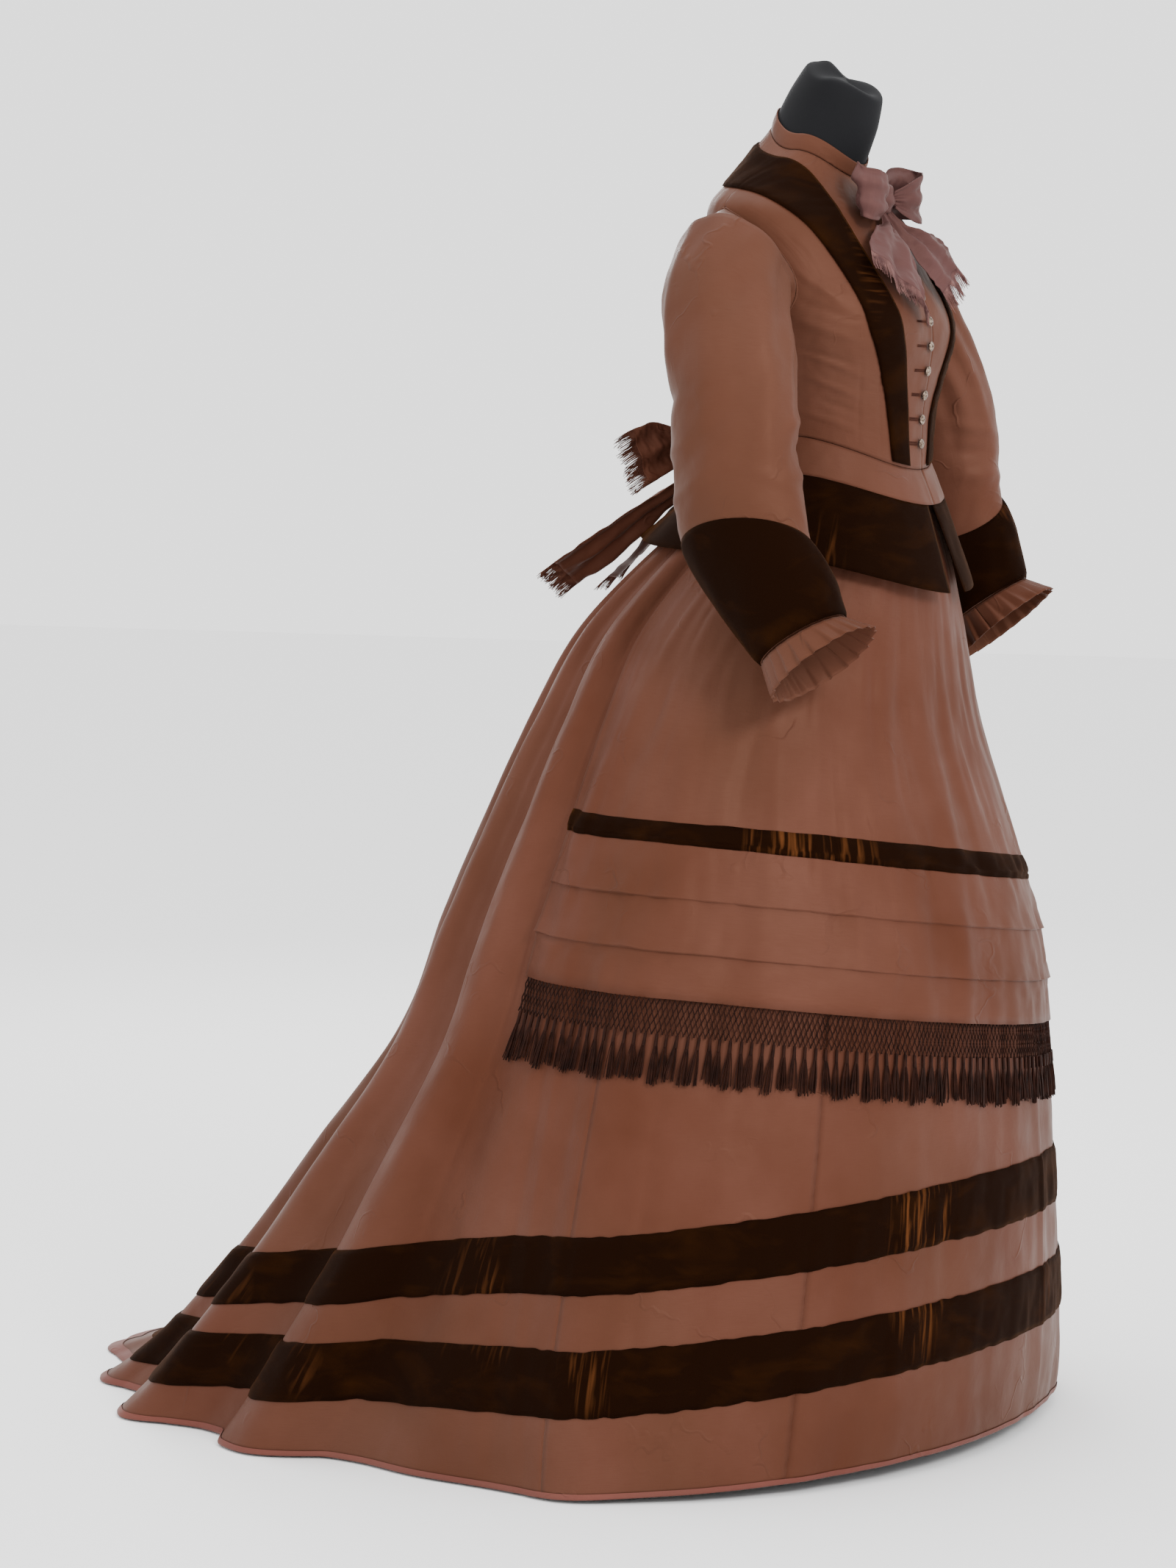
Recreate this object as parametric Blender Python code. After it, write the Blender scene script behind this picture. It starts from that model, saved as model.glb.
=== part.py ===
"""Two-piece day dress of taffeta and velvet, standing on a limbless dress form.

Metres, +Z up. The dress faces -Y, the wearer's left is +X. The origin is on the floor,
under the form's pole. Angles run round the body from the centre front (0) over the
wearer's left side (90) to the centre back (180); the right side has negative angles.
"""
import math
from collections import namedtuple

import bmesh
import bpy
import numpy as np

TAFFETA = 0.0014
VELVET = 0.0016
FRILL = 0.0010
SEAM = 0.0003
LAYER = 0.0003
LOOSE_LAYER = 0.0015
REVERS_LAYER = 0.0028

RUST = (0.30, 0.13, 0.08)
DARK_VELVET = (0.020, 0.007, 0.003)
MAUVE = (0.27, 0.14, 0.12)
PINK = (0.40, 0.17, 0.13)
FRINGE_BROWN = (0.045, 0.015, 0.010)
FORM_BLACK = (0.012, 0.012, 0.014)

# Form of the skirt at each height: where its centre front, widest side and centre back lie.
Height = namedtuple("Height", "z y_front half_width y_side y_back")
SKIRT_FORM = [
    Height(0.00, -0.228, 0.476, 0.110, 0.850),
    Height(0.05, -0.236, 0.470, 0.112, 0.790),
    Height(0.12, -0.240, 0.456, 0.112, 0.722),
    Height(0.20, -0.241, 0.436, 0.110, 0.650),
    Height(0.31, -0.240, 0.408, 0.106, 0.566),
    Height(0.45, -0.235, 0.370, 0.098, 0.462),
    Height(0.57, -0.224, 0.334, 0.090, 0.421),
    Height(0.68, -0.194, 0.298, 0.083, 0.377),
    Height(0.80, -0.158, 0.254, 0.072, 0.325),
    Height(0.90, -0.146, 0.207, 0.060, 0.270),
    Height(0.98, -0.134, 0.160, 0.030, 0.192),
    Height(1.07, -0.110, 0.114, -0.008, 0.086),
]

# Levels round the skirt, from the hem up: edges of bands, tucks and apron run along them.
# The tilt is how much lower a level lies at the wearer's left than at the front.
Level = namedtuple("Level", "name z_front z_side z_back tilt")
SKIRT_LEVELS = [
    Level("hem", 0.018, 0.002, 0.002, 0.0),
    Level("lower band, low edge", 0.121, 0.083, 0.022, 0.0),
    Level("lower band, top edge", 0.188, 0.152, 0.080, 0.0),
    Level("upper band, low edge", 0.250, 0.208, 0.098, 0.0),
    Level("upper band, top edge", 0.314, 0.268, 0.160, 0.0),
    Level("apron edge", 0.468, 0.482, 0.520, -0.040),
    Level("lower tuck", 0.516, 0.530, 0.565, -0.040),
    Level("upper tuck", 0.572, 0.585, 0.615, -0.040),
    Level("apron band, low edge", 0.628, 0.640, 0.668, -0.040),
    Level("apron band, top edge", 0.655, 0.662, 0.695, -0.040),
    Level("hip", 0.800, 0.830, 0.850, -0.020),
    Level("high hip", 0.930, 0.955, 0.965, -0.008),
    Level("waist", 1.065, 1.065, 1.065, 0.0),
]
LEVEL_CURVE = 1.3
HEM, LOW_A, LOW_B, UP_A, UP_B, APRON_EDGE, TUCK_LOW, TUCK_UP, BAND_A, BAND_B = range(10)
WAIST = len(SKIRT_LEVELS) - 1

# Folds that hang from the waist, the same on both sides: a positive reach is a ridge.
Fold = namedtuple("Fold", "angle half_width reach_hem reach_waist")
FOLDS = [
    Fold(80, 8, 0.012, 0.000),
    Fold(96, 7, -0.008, -0.002),
    Fold(108, 6, -0.026, -0.008),
    Fold(117, 5, 0.024, 0.008),
    Fold(126, 5, -0.022, -0.006),
    Fold(135, 5, 0.032, 0.008),
    Fold(144, 5, -0.030, -0.006),
    Fold(153, 5, 0.018, 0.008),
    Fold(162, 5, -0.018, -0.006),
    Fold(171, 5, 0.010, 0.006),
]
WAISTBAND_Z = 1.08
WAIST_EASE = 0.12
SQUARE_BACK = 0.080
SQUARE_TOP = 0.80
TAIL_REACH = 0.105
TAIL_HALF_ANGLE = 19.0
TAIL_HEIGHT = 0.030

FRONT_SEAM = 45.0
SIDE_SEAM = 85.5
APRON_END = 108.0
FRONT_STEP = 9.0
SIDE_STEP = 8.1
BACK_STEP = 4.5

# Rings of the fitted bodice from the waist seam up to the neck seam.
Ring = namedtuple("Ring", "name z_front z_side z_back half_width y_front y_side y_back")
BODICE = [
    Ring("waist seam", 1.075, 1.113, 1.118, 0.118, -0.117, -0.010, 0.092),
    Ring("low ribs", 1.130, 1.150, 1.155, 0.124, -0.118, -0.010, 0.100),
    Ring("under bust", 1.175, 1.187, 1.190, 0.134, -0.123, -0.008, 0.110),
    Ring("bust", 1.215, 1.222, 1.227, 0.144, -0.127, -0.005, 0.116),
    Ring("over bust", 1.247, 1.262, 1.272, 0.149, -0.123, 0.002, 0.118),
    Ring("chest", 1.285, 1.308, 1.318, 0.152, -0.105, 0.015, 0.117),
    Ring("shoulder tip", 1.325, 1.358, 1.362, 0.150, -0.083, 0.038, 0.110),
    Ring("mid shoulder", 1.352, 1.385, 1.398, 0.112, -0.066, 0.038, 0.094),
    Ring("inner shoulder", 1.375, 1.405, 1.430, 0.080, -0.052, 0.026, 0.077),
    Ring("neck seam", 1.394, 1.424, 1.456, 0.059, -0.040, 0.008, 0.059),
]
BUST_ANGLE = 36.0
BUST_HALF_ANGLE = 26.0
BUST_LEVEL = 3.3
BUST_HALF_LEVEL = 1.5
BUST_REACH = 0.012
CLOSING_ANGLE = 3.4
BODICE_SIDE = 96.0
UNDERARM, SHOULDER_TIP, NECK = 3, 6, 9
ARMHOLE_FRONT = 27.0
ARMHOLE_BACK = 23.0
BODICE_ROWS = [0, 1, 2, 3, 3.15, 3.5, 4, 4.5, 5, 5.5, 5.85, 6, 7, 8, 9]

BASQUE = [
    Ring("skirted edge", 0.940, 0.985, 1.000, 0.172, -0.168, 0.010, 0.214),
    Ring("middle", 0.988, 1.030, 1.036, 0.153, -0.150, 0.002, 0.166),
    Ring("band edge", 1.036, 1.073, 1.078, 0.134, -0.133, -0.005, 0.122),
    Ring("waist seam", 1.0745, 1.1125, 1.1175, 0.1183, -0.1173, -0.010, 0.0923),
]
PEPLUM_OPENING = 3.0
BASQUE_STEPS = 12

COLLAR = [
    Ring("neck seam", 1.3945, 1.4245, 1.4565, 0.0588, -0.0400, 0.008, 0.0588),
    Ring("top", 1.409, 1.442, 1.475, 0.0540, -0.0470, 0.003, 0.0520),
]

# Edges of the velvet trim that runs up the front, over the shoulder and round the back.
Trim = namedtuple("Trim", "inner_angle inner_level outer_angle outer_level")
REVERS = [
    Trim(9.5, 0.05, 24.0, 0.05),
    Trim(13.0, 1.2, 29.0, 1.2),
    Trim(18.0, 2.2, 35.0, 2.2),
    Trim(22.0, 3.1, 40.0, 3.1),
    Trim(23.5, 4.1, 42.0, 4.0),
    Trim(25.0, 5.1, 45.5, 5.0),
    Trim(29.0, 6.2, 52.0, 5.8),
    Trim(39.0, 7.2, 66.0, 6.3),
    Trim(62.0, 8.2, 84.0, 6.65),
    Trim(97.0, 8.55, 102.0, 6.8),
    Trim(140.0, 8.4, 137.0, 6.75),
    Trim(179.8, 8.2, 179.8, 6.6),
]

# Sections of the sleeve from the shoulder down; roll turns a section from facing
# sideways (0) to facing down (90), pitch bends the forearm forward. The last two columns
# say how far the left sleeve, which is bent less, lies from the right one's mirror image.
Sleeve = namedtuple("Sleeve", "name out y z half_depth half_width roll pitch left_y left_z")
SLEEVE = [
    Sleeve("cap", 0.180, 0.020, 1.284, 0.067, 0.071, 25, 0, 0.000, 0.000),
    Sleeve("upper arm", 0.208, 0.012, 1.246, 0.073, 0.060, 52, 0, 0.000, 0.000),
    Sleeve("biceps", 0.230, -0.004, 1.198, 0.073, 0.056, 74, 0, 0.001, 0.000),
    Sleeve("above elbow", 0.245, -0.017, 1.150, 0.071, 0.053, 84, 2, 0.003, 0.002),
    Sleeve("elbow", 0.255, -0.026, 1.100, 0.0705, 0.052, 84, 6, 0.007, 0.005),
    Sleeve("forearm", 0.260, -0.032, 1.050, 0.0705, 0.052, 74, 8, 0.012, 0.010),
    Sleeve("cuff top", 0.262, -0.043, 0.996, 0.0735, 0.054, 56, 8, 0.020, 0.022),
    Sleeve("mid cuff", 0.262, -0.075, 0.950, 0.0660, 0.048, 70, 20, 0.025, 0.025),
    Sleeve("wrist", 0.260, -0.110, 0.896, 0.0525, 0.042, 85, 33, 0.028, 0.022),
]
CUFF_TOP, WRIST = 6, 8
FRILL_START = Sleeve("frill seam", 0.260, -0.1105, 0.8953, 0.0530, 0.0425, 85, 33, 0.028, 0.022)
FRILL_END = Sleeve("frill edge", 0.260, -0.134, 0.873, 0.0670, 0.0520, 85, 38, 0.028, 0.022)
FRILL_PLEATS = 22
FRILL_WAVE = 0.0024

BUTTON_COUNT = 9
BUTTON_TOP_Z = 1.316
BUTTON_LOW_Z = 1.103
BUTTON_RADIUS = 0.0055
BUTTON_HALF_HEIGHT = 0.0028

TASSEL_COUNT = 58
FRINGE_HEADING = 0.034
TUCK_REACH = 0.0012
TUCK_STEP = 0.06
HEM_ROLL = 0.05
ROLL_REACH = 0.0008
ROLL_THICKNESS = 0.0024
TASSEL_SHAPE = [(0.012, 0.0022, 0.0018), (0.050, 0.0048, 0.0028)]

BASE_RADIUS = 0.17
BASE_HEIGHT = 0.012
POLE_RADIUS = 0.016
FORM_SIDES = 20
FORM = [
    Ring("lower edge", 0.900, 0.900, 0.900, 0.118, -0.085, 0.010, 0.110),
    Ring("hips", 0.960, 0.965, 0.970, 0.128, -0.106, 0.006, 0.122),
    Ring("waistband low", 1.0654, 1.0654, 1.0654, 0.1141, -0.1089, -0.0059, 0.0895),
    Ring("waistband top", 1.088, 1.088, 1.088, 0.1117, -0.1067, -0.0065, 0.0862),
]
WAISTBAND = [
    Ring("low", 1.0654, 1.0654, 1.0654, 0.1159, -0.1107, -0.0059, 0.0913),
    Ring("top", 1.088, 1.088, 1.088, 0.1135, -0.1085, -0.0065, 0.0880),
]
NECK_RINGS = [
    Ring("under collar", 1.3945, 1.4245, 1.4565, 0.0568, -0.0380, 0.008, 0.0568),
    Ring("collar top", 1.409, 1.442, 1.475, 0.0520, -0.0450, 0.003, 0.0500),
    Ring("neck", 1.446, 1.470, 1.498, 0.0470, -0.0600, -0.010, 0.0370),
    Ring("top edge", 1.476, 1.498, 1.522, 0.0455, -0.0655, -0.022, 0.0180),
    Ring("top face", 1.484, 1.503, 1.524, 0.0380, -0.0590, -0.022, 0.0080),
]
FORM_INSET = 0.0034
FORM_ROWS = [0.35, 1, 2, 3, 3.5, 4.5, 5.5, 6, 7, 8, 9]

# A ribbon is read through sections: its middle, and the half width to one edge.
Section = namedtuple("Section", "x y z wide_x wide_y wide_z")
NECK_KNOT = (0.0, -0.0711, 1.372, 0.015, 0.013, 0.018)
NECK_LOOP = [
    Section(0.0144, -0.068, 1.374, 0.001, 0.000, 0.011),
    Section(0.034, -0.063, 1.378, 0.004, 0.003, 0.026),
    Section(0.055, -0.066, 1.380, 0.003, 0.002, 0.029),
    Section(0.064, -0.078, 1.377, -0.001, 0.000, 0.027),
    Section(0.053, -0.091, 1.373, -0.004, -0.003, 0.027),
    Section(0.034, -0.092, 1.370, -0.004, -0.003, 0.023),
    Section(0.0144, -0.078, 1.370, 0.000, 0.000, 0.011),
]
NECK_TAIL_RIGHT = [
    Section(-0.0085, -0.0747, 1.3558, 0.0055, 0.000, -0.001),
    Section(-0.0150, -0.0870, 1.3420, 0.0110, -0.001, -0.003),
    Section(-0.026, -0.100, 1.328, 0.022, -0.010, -0.014),
    Section(-0.042, -0.111, 1.303, 0.030, -0.016, -0.024),
    Section(-0.053, -0.120, 1.283, 0.034, -0.018, -0.030),
]
NECK_TAIL_LEFT = [
    Section(0.0085, -0.0747, 1.3558, 0.0055, 0.000, 0.001),
    Section(0.0160, -0.0880, 1.3400, 0.0110, -0.001, 0.003),
    Section(0.032, -0.105, 1.326, 0.022, 0.000, 0.011),
    Section(0.050, -0.117, 1.307, 0.026, 0.004, 0.018),
    Section(0.063, -0.124, 1.288, 0.027, 0.006, 0.019),
]
BACK_KNOT = (0.0, 0.1198, 1.108, 0.018, 0.013, 0.020)
BACK_LOOP = [
    Section(0.0171, 0.117, 1.112, 0.000, 0.000, 0.012),
    Section(0.042, 0.117, 1.122, 0.002, -0.002, 0.024),
    Section(0.066, 0.125, 1.128, 0.002, -0.002, 0.028),
    Section(0.074, 0.140, 1.126, 0.000, 0.000, 0.027),
    Section(0.060, 0.151, 1.122, -0.002, 0.002, 0.026),
    Section(0.038, 0.146, 1.116, -0.002, 0.002, 0.022),
    Section(0.0171, 0.129, 1.110, 0.000, 0.000, 0.012),
]
BACK_END_UPPER = [
    Section(0.0095, 0.1301, 1.1011, 0.002, 0.001, 0.007),
    Section(0.030, 0.163, 1.103, 0.010, 0.004, 0.018),
    Section(0.052, 0.180, 1.099, 0.014, 0.004, 0.028),
    Section(0.072, 0.193, 1.088, 0.014, 0.002, 0.031),
]
BACK_END_LOWER = [
    Section(0.0095, 0.1227, 1.0894, 0.007, 0.000, 0.001),
    Section(0.022, 0.161, 1.060, 0.016, -0.001, 0.005),
    Section(0.036, 0.206, 1.026, 0.024, -0.002, 0.009),
    Section(0.052, 0.252, 0.988, 0.028, -0.002, 0.012),
    Section(0.067, 0.294, 0.957, 0.030, -0.002, 0.014),
]
BOW_COLUMNS = 4
BOW_ROWS = 8
BOW_WAVE = 0.0022
BOW_STRANDS = 9
BOW_STRAND_LENGTH = 0.022
BOW_STRIP = 0.004


def new_collection(name):
    collection = bpy.data.collections.new(name)
    bpy.context.scene.collection.children.link(collection)
    return collection


def clear_scene():
    for old in list(bpy.data.objects):
        bpy.data.objects.remove(old, do_unlink=True)


def paint(piece, colour, roughness, metallic=0.0):
    """Give a piece a material of its own."""
    material = bpy.data.materials.new(piece.name)
    material.use_nodes = True
    shader = material.node_tree.nodes["Principled BSDF"]
    shader.inputs["Base Color"].default_value = (*colour, 1.0)
    shader.inputs["Roughness"].default_value = roughness
    shader.inputs["Metallic"].default_value = metallic
    piece.data.materials.clear()
    piece.data.materials.append(material)


def place(name, mesh, colour, roughness, metallic=0.0):
    """Put a finished mesh into the dress's collection as a named, painted piece."""
    piece = bpy.data.objects.new(name, mesh)
    dress.objects.link(piece)
    mesh.shade_smooth()
    mesh.set_sharp_from_angle(angle=math.radians(40))
    paint(piece, colour, roughness, metallic)
    return piece


def read_smooth(places, values, at):
    """Cubic reading of a table's column between its rows."""
    slopes = np.gradient(values, places)
    i = int(np.clip(np.searchsorted(places, at) - 1, 0, len(places) - 2))
    span = places[i + 1] - places[i]
    t = (at - places[i]) / span
    rise = values[i + 1] * t * t * (3 - 2 * t) + values[i] * (1 - t * t * (3 - 2 * t))
    return rise + span * (slopes[i] * t * (1 - t) ** 2 - slopes[i + 1] * t * t * (1 - t))


def read_row(table, columns, places, at):
    return [read_smooth(places, [getattr(row, column) for row in table], at) for column in columns]


def round_point(half_width, y_front, y_side, y_back, angle):
    """Point of a body ring, wider in front or behind as its three depths say."""
    turn = math.radians(angle)
    reach = y_side - y_front if math.cos(turn) > 0 else y_back - y_side
    return half_width * math.sin(turn), y_side - reach * math.cos(turn)


def between(z_front, z_side, z_back, angle, curve=2.0):
    """Height at an angle of a line that runs round the body."""
    lean = math.cos(math.radians(angle))
    end = z_front if lean > 0 else z_back
    return z_side + (end - z_side) * abs(lean) ** curve


def ring_point(table, level, angle):
    """Point of a loft through a table of rings; level 0 is its first row."""
    columns = Ring._fields[1:]
    z_front, z_side, z_back, half_width, y_front, y_side, y_back = read_row(
        table, columns, range(len(table)), level)
    x, y = round_point(half_width, y_front, y_side, y_back, angle)
    return np.array([x, y, between(z_front, z_side, z_back, angle)])


def bodice_point(level, angle):
    """The bodice's outer side, with the fullness that its two front darts give."""
    point = ring_point(BODICE, level, angle)
    aside = (abs(angle) - BUST_ANGLE) / BUST_HALF_ANGLE
    above = (level - BUST_LEVEL) / BUST_HALF_LEVEL
    reach = BUST_REACH * math.exp(-aside * aside - above * above)
    turn = math.radians(angle)
    return point + reach * np.array([math.sin(turn), -math.cos(turn), 0.0])


def fold_reach(angle, z):
    """How far the folds push the skirt out, or let it in, at an angle and a height."""
    rise = min(z / SKIRT_FORM[-1].z, 1.0)
    reach = 0.0
    for fold in FOLDS:
        aside = (abs(angle) - fold.angle) / fold.half_width
        here = fold.reach_hem + (fold.reach_waist - fold.reach_hem) * rise
        here *= min(1.0, (WAISTBAND_Z - z) / WAIST_EASE)
        reach += here * math.exp(-aside * aside)
    aside = (abs(angle) - 180.0) / TAIL_HALF_ANGLE
    return reach + TAIL_REACH * math.exp(-aside * aside - z / TAIL_HEIGHT)


def skirt_ring(z, angle):
    """The skirt's form without its folds; behind, it is squarer toward the floor."""
    heights = [row.z for row in SKIRT_FORM]
    y_front, half_width, y_side, y_back = read_row(
        SKIRT_FORM, ("y_front", "half_width", "y_side", "y_back"), heights, z)
    x, y = round_point(half_width, y_front, y_side, y_back, angle)
    if y < y_side:
        return np.array([x, y])
    square = SQUARE_BACK * max(0.0, 1.0 - z / SQUARE_TOP) * math.sin(math.radians(2 * angle)) ** 2
    return np.array([x * (1 + square), y_side + (y - y_side) * (1 + square)])


def skirt_point(level, angle):
    """The skirt's outer side: a round form by height, with the folds laid on it."""
    z_front, z_side, z_back, tilt = read_row(
        SKIRT_LEVELS, Level._fields[1:], range(len(SKIRT_LEVELS)), level)
    z = between(z_front, z_side, z_back, angle, LEVEL_CURVE) + tilt * math.sin(math.radians(angle))
    z = max(z, 0.0)
    along = skirt_ring(z, angle + 0.5) - skirt_ring(z, angle - 0.5)
    along /= np.linalg.norm(along)
    out = fold_reach(angle, z) * np.array([along[1], -along[0]])
    return np.array([*(skirt_ring(z, angle) + out), z])


def skirt_facet(level, angle):
    """The skirt between two of its levels, straight from one to the next."""
    low = min(max(math.floor(level), HEM), WAIST - 1)
    share = level - low
    return skirt_point(low, angle) * (1 - share) + skirt_point(low + 1, angle) * share


def bodice_facet(level, angle):
    """The bodice between two rows of its panels, straight from one to the next."""
    above = next(i for i, v in enumerate(BODICE_ROWS) if v >= level or v == NECK)
    low, high = BODICE_ROWS[max(above - 1, 0)], BODICE_ROWS[max(above, 1)]
    share = (level - low) / (high - low)
    return bodice_point(low, angle) * (1 - share) + bodice_point(high, angle) * share


def outward(surface, level, angle):
    """Unit normal of a surface that is read by level (upward) and angle."""
    round_step = surface(level, angle + 0.4) - surface(level, angle - 0.4)
    up_step = surface(level + 0.02, angle) - surface(level - 0.02, angle)
    normal = np.cross(round_step, up_step)
    return normal / np.linalg.norm(normal)


def layer(surface, levels, angles, out):
    """Grid of points over a surface, moved out along its normals."""
    return [[surface(v, a) + out * outward(surface, v, a) for a in row_angles]
            for v, row_angles in zip(levels, angles)]


def skirt_layer(levels, angles, outs):
    """Grid over the skirt's facets; each level has its own distance out."""
    return [[skirt_facet(v, a) + out * outward(skirt_point, v, a) for a in angles]
            for v, out in zip(levels, outs)]


def wall_mesh(name, outer, inner, closed_round=False):
    """Closed wall between two grids of the same size; rows run up, columns round."""
    rows, columns = len(outer), len(outer[0])
    points = [p for row in outer for p in row] + [p for row in inner for p in row]
    half = rows * columns
    spans = columns if closed_round else columns - 1

    def at(i, j, side):
        return side * half + i * columns + j % columns

    faces = []
    for i in range(rows - 1):
        for j in range(spans):
            faces.append((at(i, j, 0), at(i, j + 1, 0), at(i + 1, j + 1, 0), at(i + 1, j, 0)))
            faces.append((at(i, j, 1), at(i + 1, j, 1), at(i + 1, j + 1, 1), at(i, j + 1, 1)))
    top = rows - 1
    for j in range(spans):
        faces.append((at(0, j, 0), at(0, j, 1), at(0, j + 1, 1), at(0, j + 1, 0)))
        faces.append((at(top, j, 0), at(top, j + 1, 0), at(top, j + 1, 1), at(top, j, 1)))
    if not closed_round:
        end = columns - 1
        for i in range(rows - 1):
            faces.append((at(i, 0, 0), at(i + 1, 0, 0), at(i + 1, 0, 1), at(i, 0, 1)))
            faces.append((at(i, end, 0), at(i, end, 1), at(i + 1, end, 1), at(i + 1, end, 0)))
    mesh = bpy.data.meshes.new(name)
    mesh.from_pydata([tuple(p) for p in points], [], faces)
    return mesh


def mirrored(grid):
    """The same grid on the other side of the body, its columns turned round."""
    return [[p * np.array([-1, 1, 1]) for p in reversed(row)] for row in grid]


def steps(first, last, step):
    count = max(1, round(abs(last - first) / step))
    return list(np.linspace(first, last, count + 1))


def skirt_angles(first, last):
    """Column angles round the skirt, the same for every layer on it."""
    marks = [-180.0, -SIDE_SEAM, -FRONT_SEAM, FRONT_SEAM, SIDE_SEAM, 180.0]
    spacing = [BACK_STEP, SIDE_STEP, FRONT_STEP, SIDE_STEP, BACK_STEP]
    angles = [marks[0]]
    for start, end, step in zip(marks, marks[1:], spacing):
        angles += steps(start, end, step)[1:]
    return [a for a in angles if first - 0.01 <= a <= last + 0.01]


def seam_allowance(angles, radius):
    """Pull the first and last column in by half a seam's gap."""
    inset = math.degrees(SEAM / 2 / radius)
    return [angles[0] + inset] + angles[1:-1] + [angles[-1] - inset]


def build_skirt():
    levels = [HEM + HEM_ROLL + 0.01] + list(range(HEM + 1, WAIST + 1))
    seams = [("skirt_back_right", -180.0, -SIDE_SEAM), ("skirt_side_right", -SIDE_SEAM, -FRONT_SEAM),
             ("skirt_front", -FRONT_SEAM, FRONT_SEAM), ("skirt_side_left", FRONT_SEAM, SIDE_SEAM),
             ("skirt_back_left", SIDE_SEAM, 180.0)]
    for name, first, last in seams:
        angles = seam_allowance(skirt_angles(first, last), SKIRT_FORM[-1].half_width)
        outer = skirt_layer(levels, angles, [0.0] * len(levels))
        inner = skirt_layer(levels, angles, [-TAFFETA] * len(levels))
        place(name, wall_mesh(name, outer, inner), RUST, 0.45)


def build_skirt_ring(name, levels, out, thickness, colour, roughness):
    """A trim that runs all the way round the skirt, laid on it."""
    angles = skirt_angles(-180.0, 180.0)[:-1]
    outer = skirt_layer(levels, angles, [out + thickness] * 2)
    inner = skirt_layer(levels, angles, [out] * 2)
    place(name, wall_mesh(name, outer, inner, closed_round=True), colour, roughness)


def build_apron():
    """Apron front with two tucks, whose folded edges stand out, and a velvet band."""
    angles = skirt_angles(-APRON_END, APRON_END)
    levels, reach = [], []
    for level in range(APRON_EDGE, WAIST + 1):
        if level in (TUCK_LOW, TUCK_UP):
            levels += [level - TUCK_STEP, level]
            reach += [0.0, TUCK_REACH]
        else:
            levels.append(level)
            reach.append(0.0)
    outer = skirt_layer(levels, angles, [LAYER + TAFFETA + r for r in reach])
    inner = skirt_layer(levels, angles, [LAYER] * len(levels))
    place("apron", wall_mesh("apron", outer, inner), RUST, 0.45)
    on_apron = LAYER + TAFFETA + LAYER
    outer = skirt_layer([BAND_A, BAND_B], angles, [on_apron + VELVET] * 2)
    inner = skirt_layer([BAND_A, BAND_B], angles, [on_apron] * 2)
    place("apron_velvet_band", wall_mesh("apron_velvet_band", outer, inner), DARK_VELVET, 0.9)


def below_apron(fall, angle, out):
    """Point over the skirt, so far below the apron's edge and so far out, and its normal."""
    drop = skirt_point(APRON_EDGE, angle)[2] - skirt_point(UP_B, angle)[2]
    level = APRON_EDGE - fall / drop
    normal = outward(skirt_point, level, angle)
    return skirt_facet(level, angle) + normal * out, normal


def build_apron_fringe():
    """A netted heading hung from the apron's edge, and the tassels that end it."""
    angles = list(np.linspace(-APRON_END + 0.4, APRON_END - 0.4, TASSEL_COUNT + 1))
    falls = (FRINGE_HEADING, SEAM * 2)
    outer = [[below_apron(fall, a, LOOSE_LAYER + FRILL)[0] for a in angles] for fall in falls]
    inner = [[below_apron(fall, a, LOOSE_LAYER)[0] for a in angles] for fall in falls]
    mesh = wall_mesh("apron_fringe", outer, inner)
    columns = len(angles)
    strands = []
    for j in range(columns - 1):
        middle = (angles[j] + angles[j + 1]) / 2
        rings = []
        for fall, half_wide, half_deep in TASSEL_SHAPE:
            out = LOOSE_LAYER + half_deep + FRILL
            centre, normal = below_apron(FRINGE_HEADING + fall, middle, out)
            across = np.cross((0.0, 0.0, 1.0), normal)
            rings.append((centre, across * half_wide, normal * half_deep))
        strands.append(((j, j + 1, 2 * columns + j + 1, 2 * columns + j), rings))
    grow_strands(mesh, strands)
    place("apron_fringe", mesh, FRINGE_BROWN, 0.8)


def grow_strands(mesh, strands):
    """Draw root faces of a strip out into strands of four sides.

    A strand is its root's corners (outer, next outer, next inner, inner) and the rings
    that it passes through: each a middle and half of its width and depth.
    """
    shape = bmesh.new()
    shape.from_mesh(mesh)
    shape.verts.ensure_lookup_table()
    for corners, rings in [([shape.verts[i] for i in root], rings) for root, rings in strands]:
        face = next(f for f in corners[0].link_faces if set(f.verts) == set(corners))
        shape.faces.remove(face)
        previous = corners
        for centre, wide, deep in rings:
            ring = [shape.verts.new(centre + wide * a + deep * d)
                    for a, d in ((-1, 1), (1, 1), (1, -1), (-1, -1))]
            for k in range(4):
                shape.faces.new((previous[k], previous[(k + 1) % 4], ring[(k + 1) % 4], ring[k]))
            previous = ring
        shape.faces.new(previous)
    bmesh.ops.recalc_face_normals(shape, faces=shape.faces)
    shape.to_mesh(mesh)
    shape.free()


def armhole(level, depth):
    """Angle by which the armhole opens from the side line at a level."""
    share = (level - UNDERARM) / (SHOULDER_TIP - UNDERARM)
    if share <= 0.0 or share >= 1.0:
        return 0.0
    return depth * math.sin(math.pi * share) ** 0.7


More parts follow.
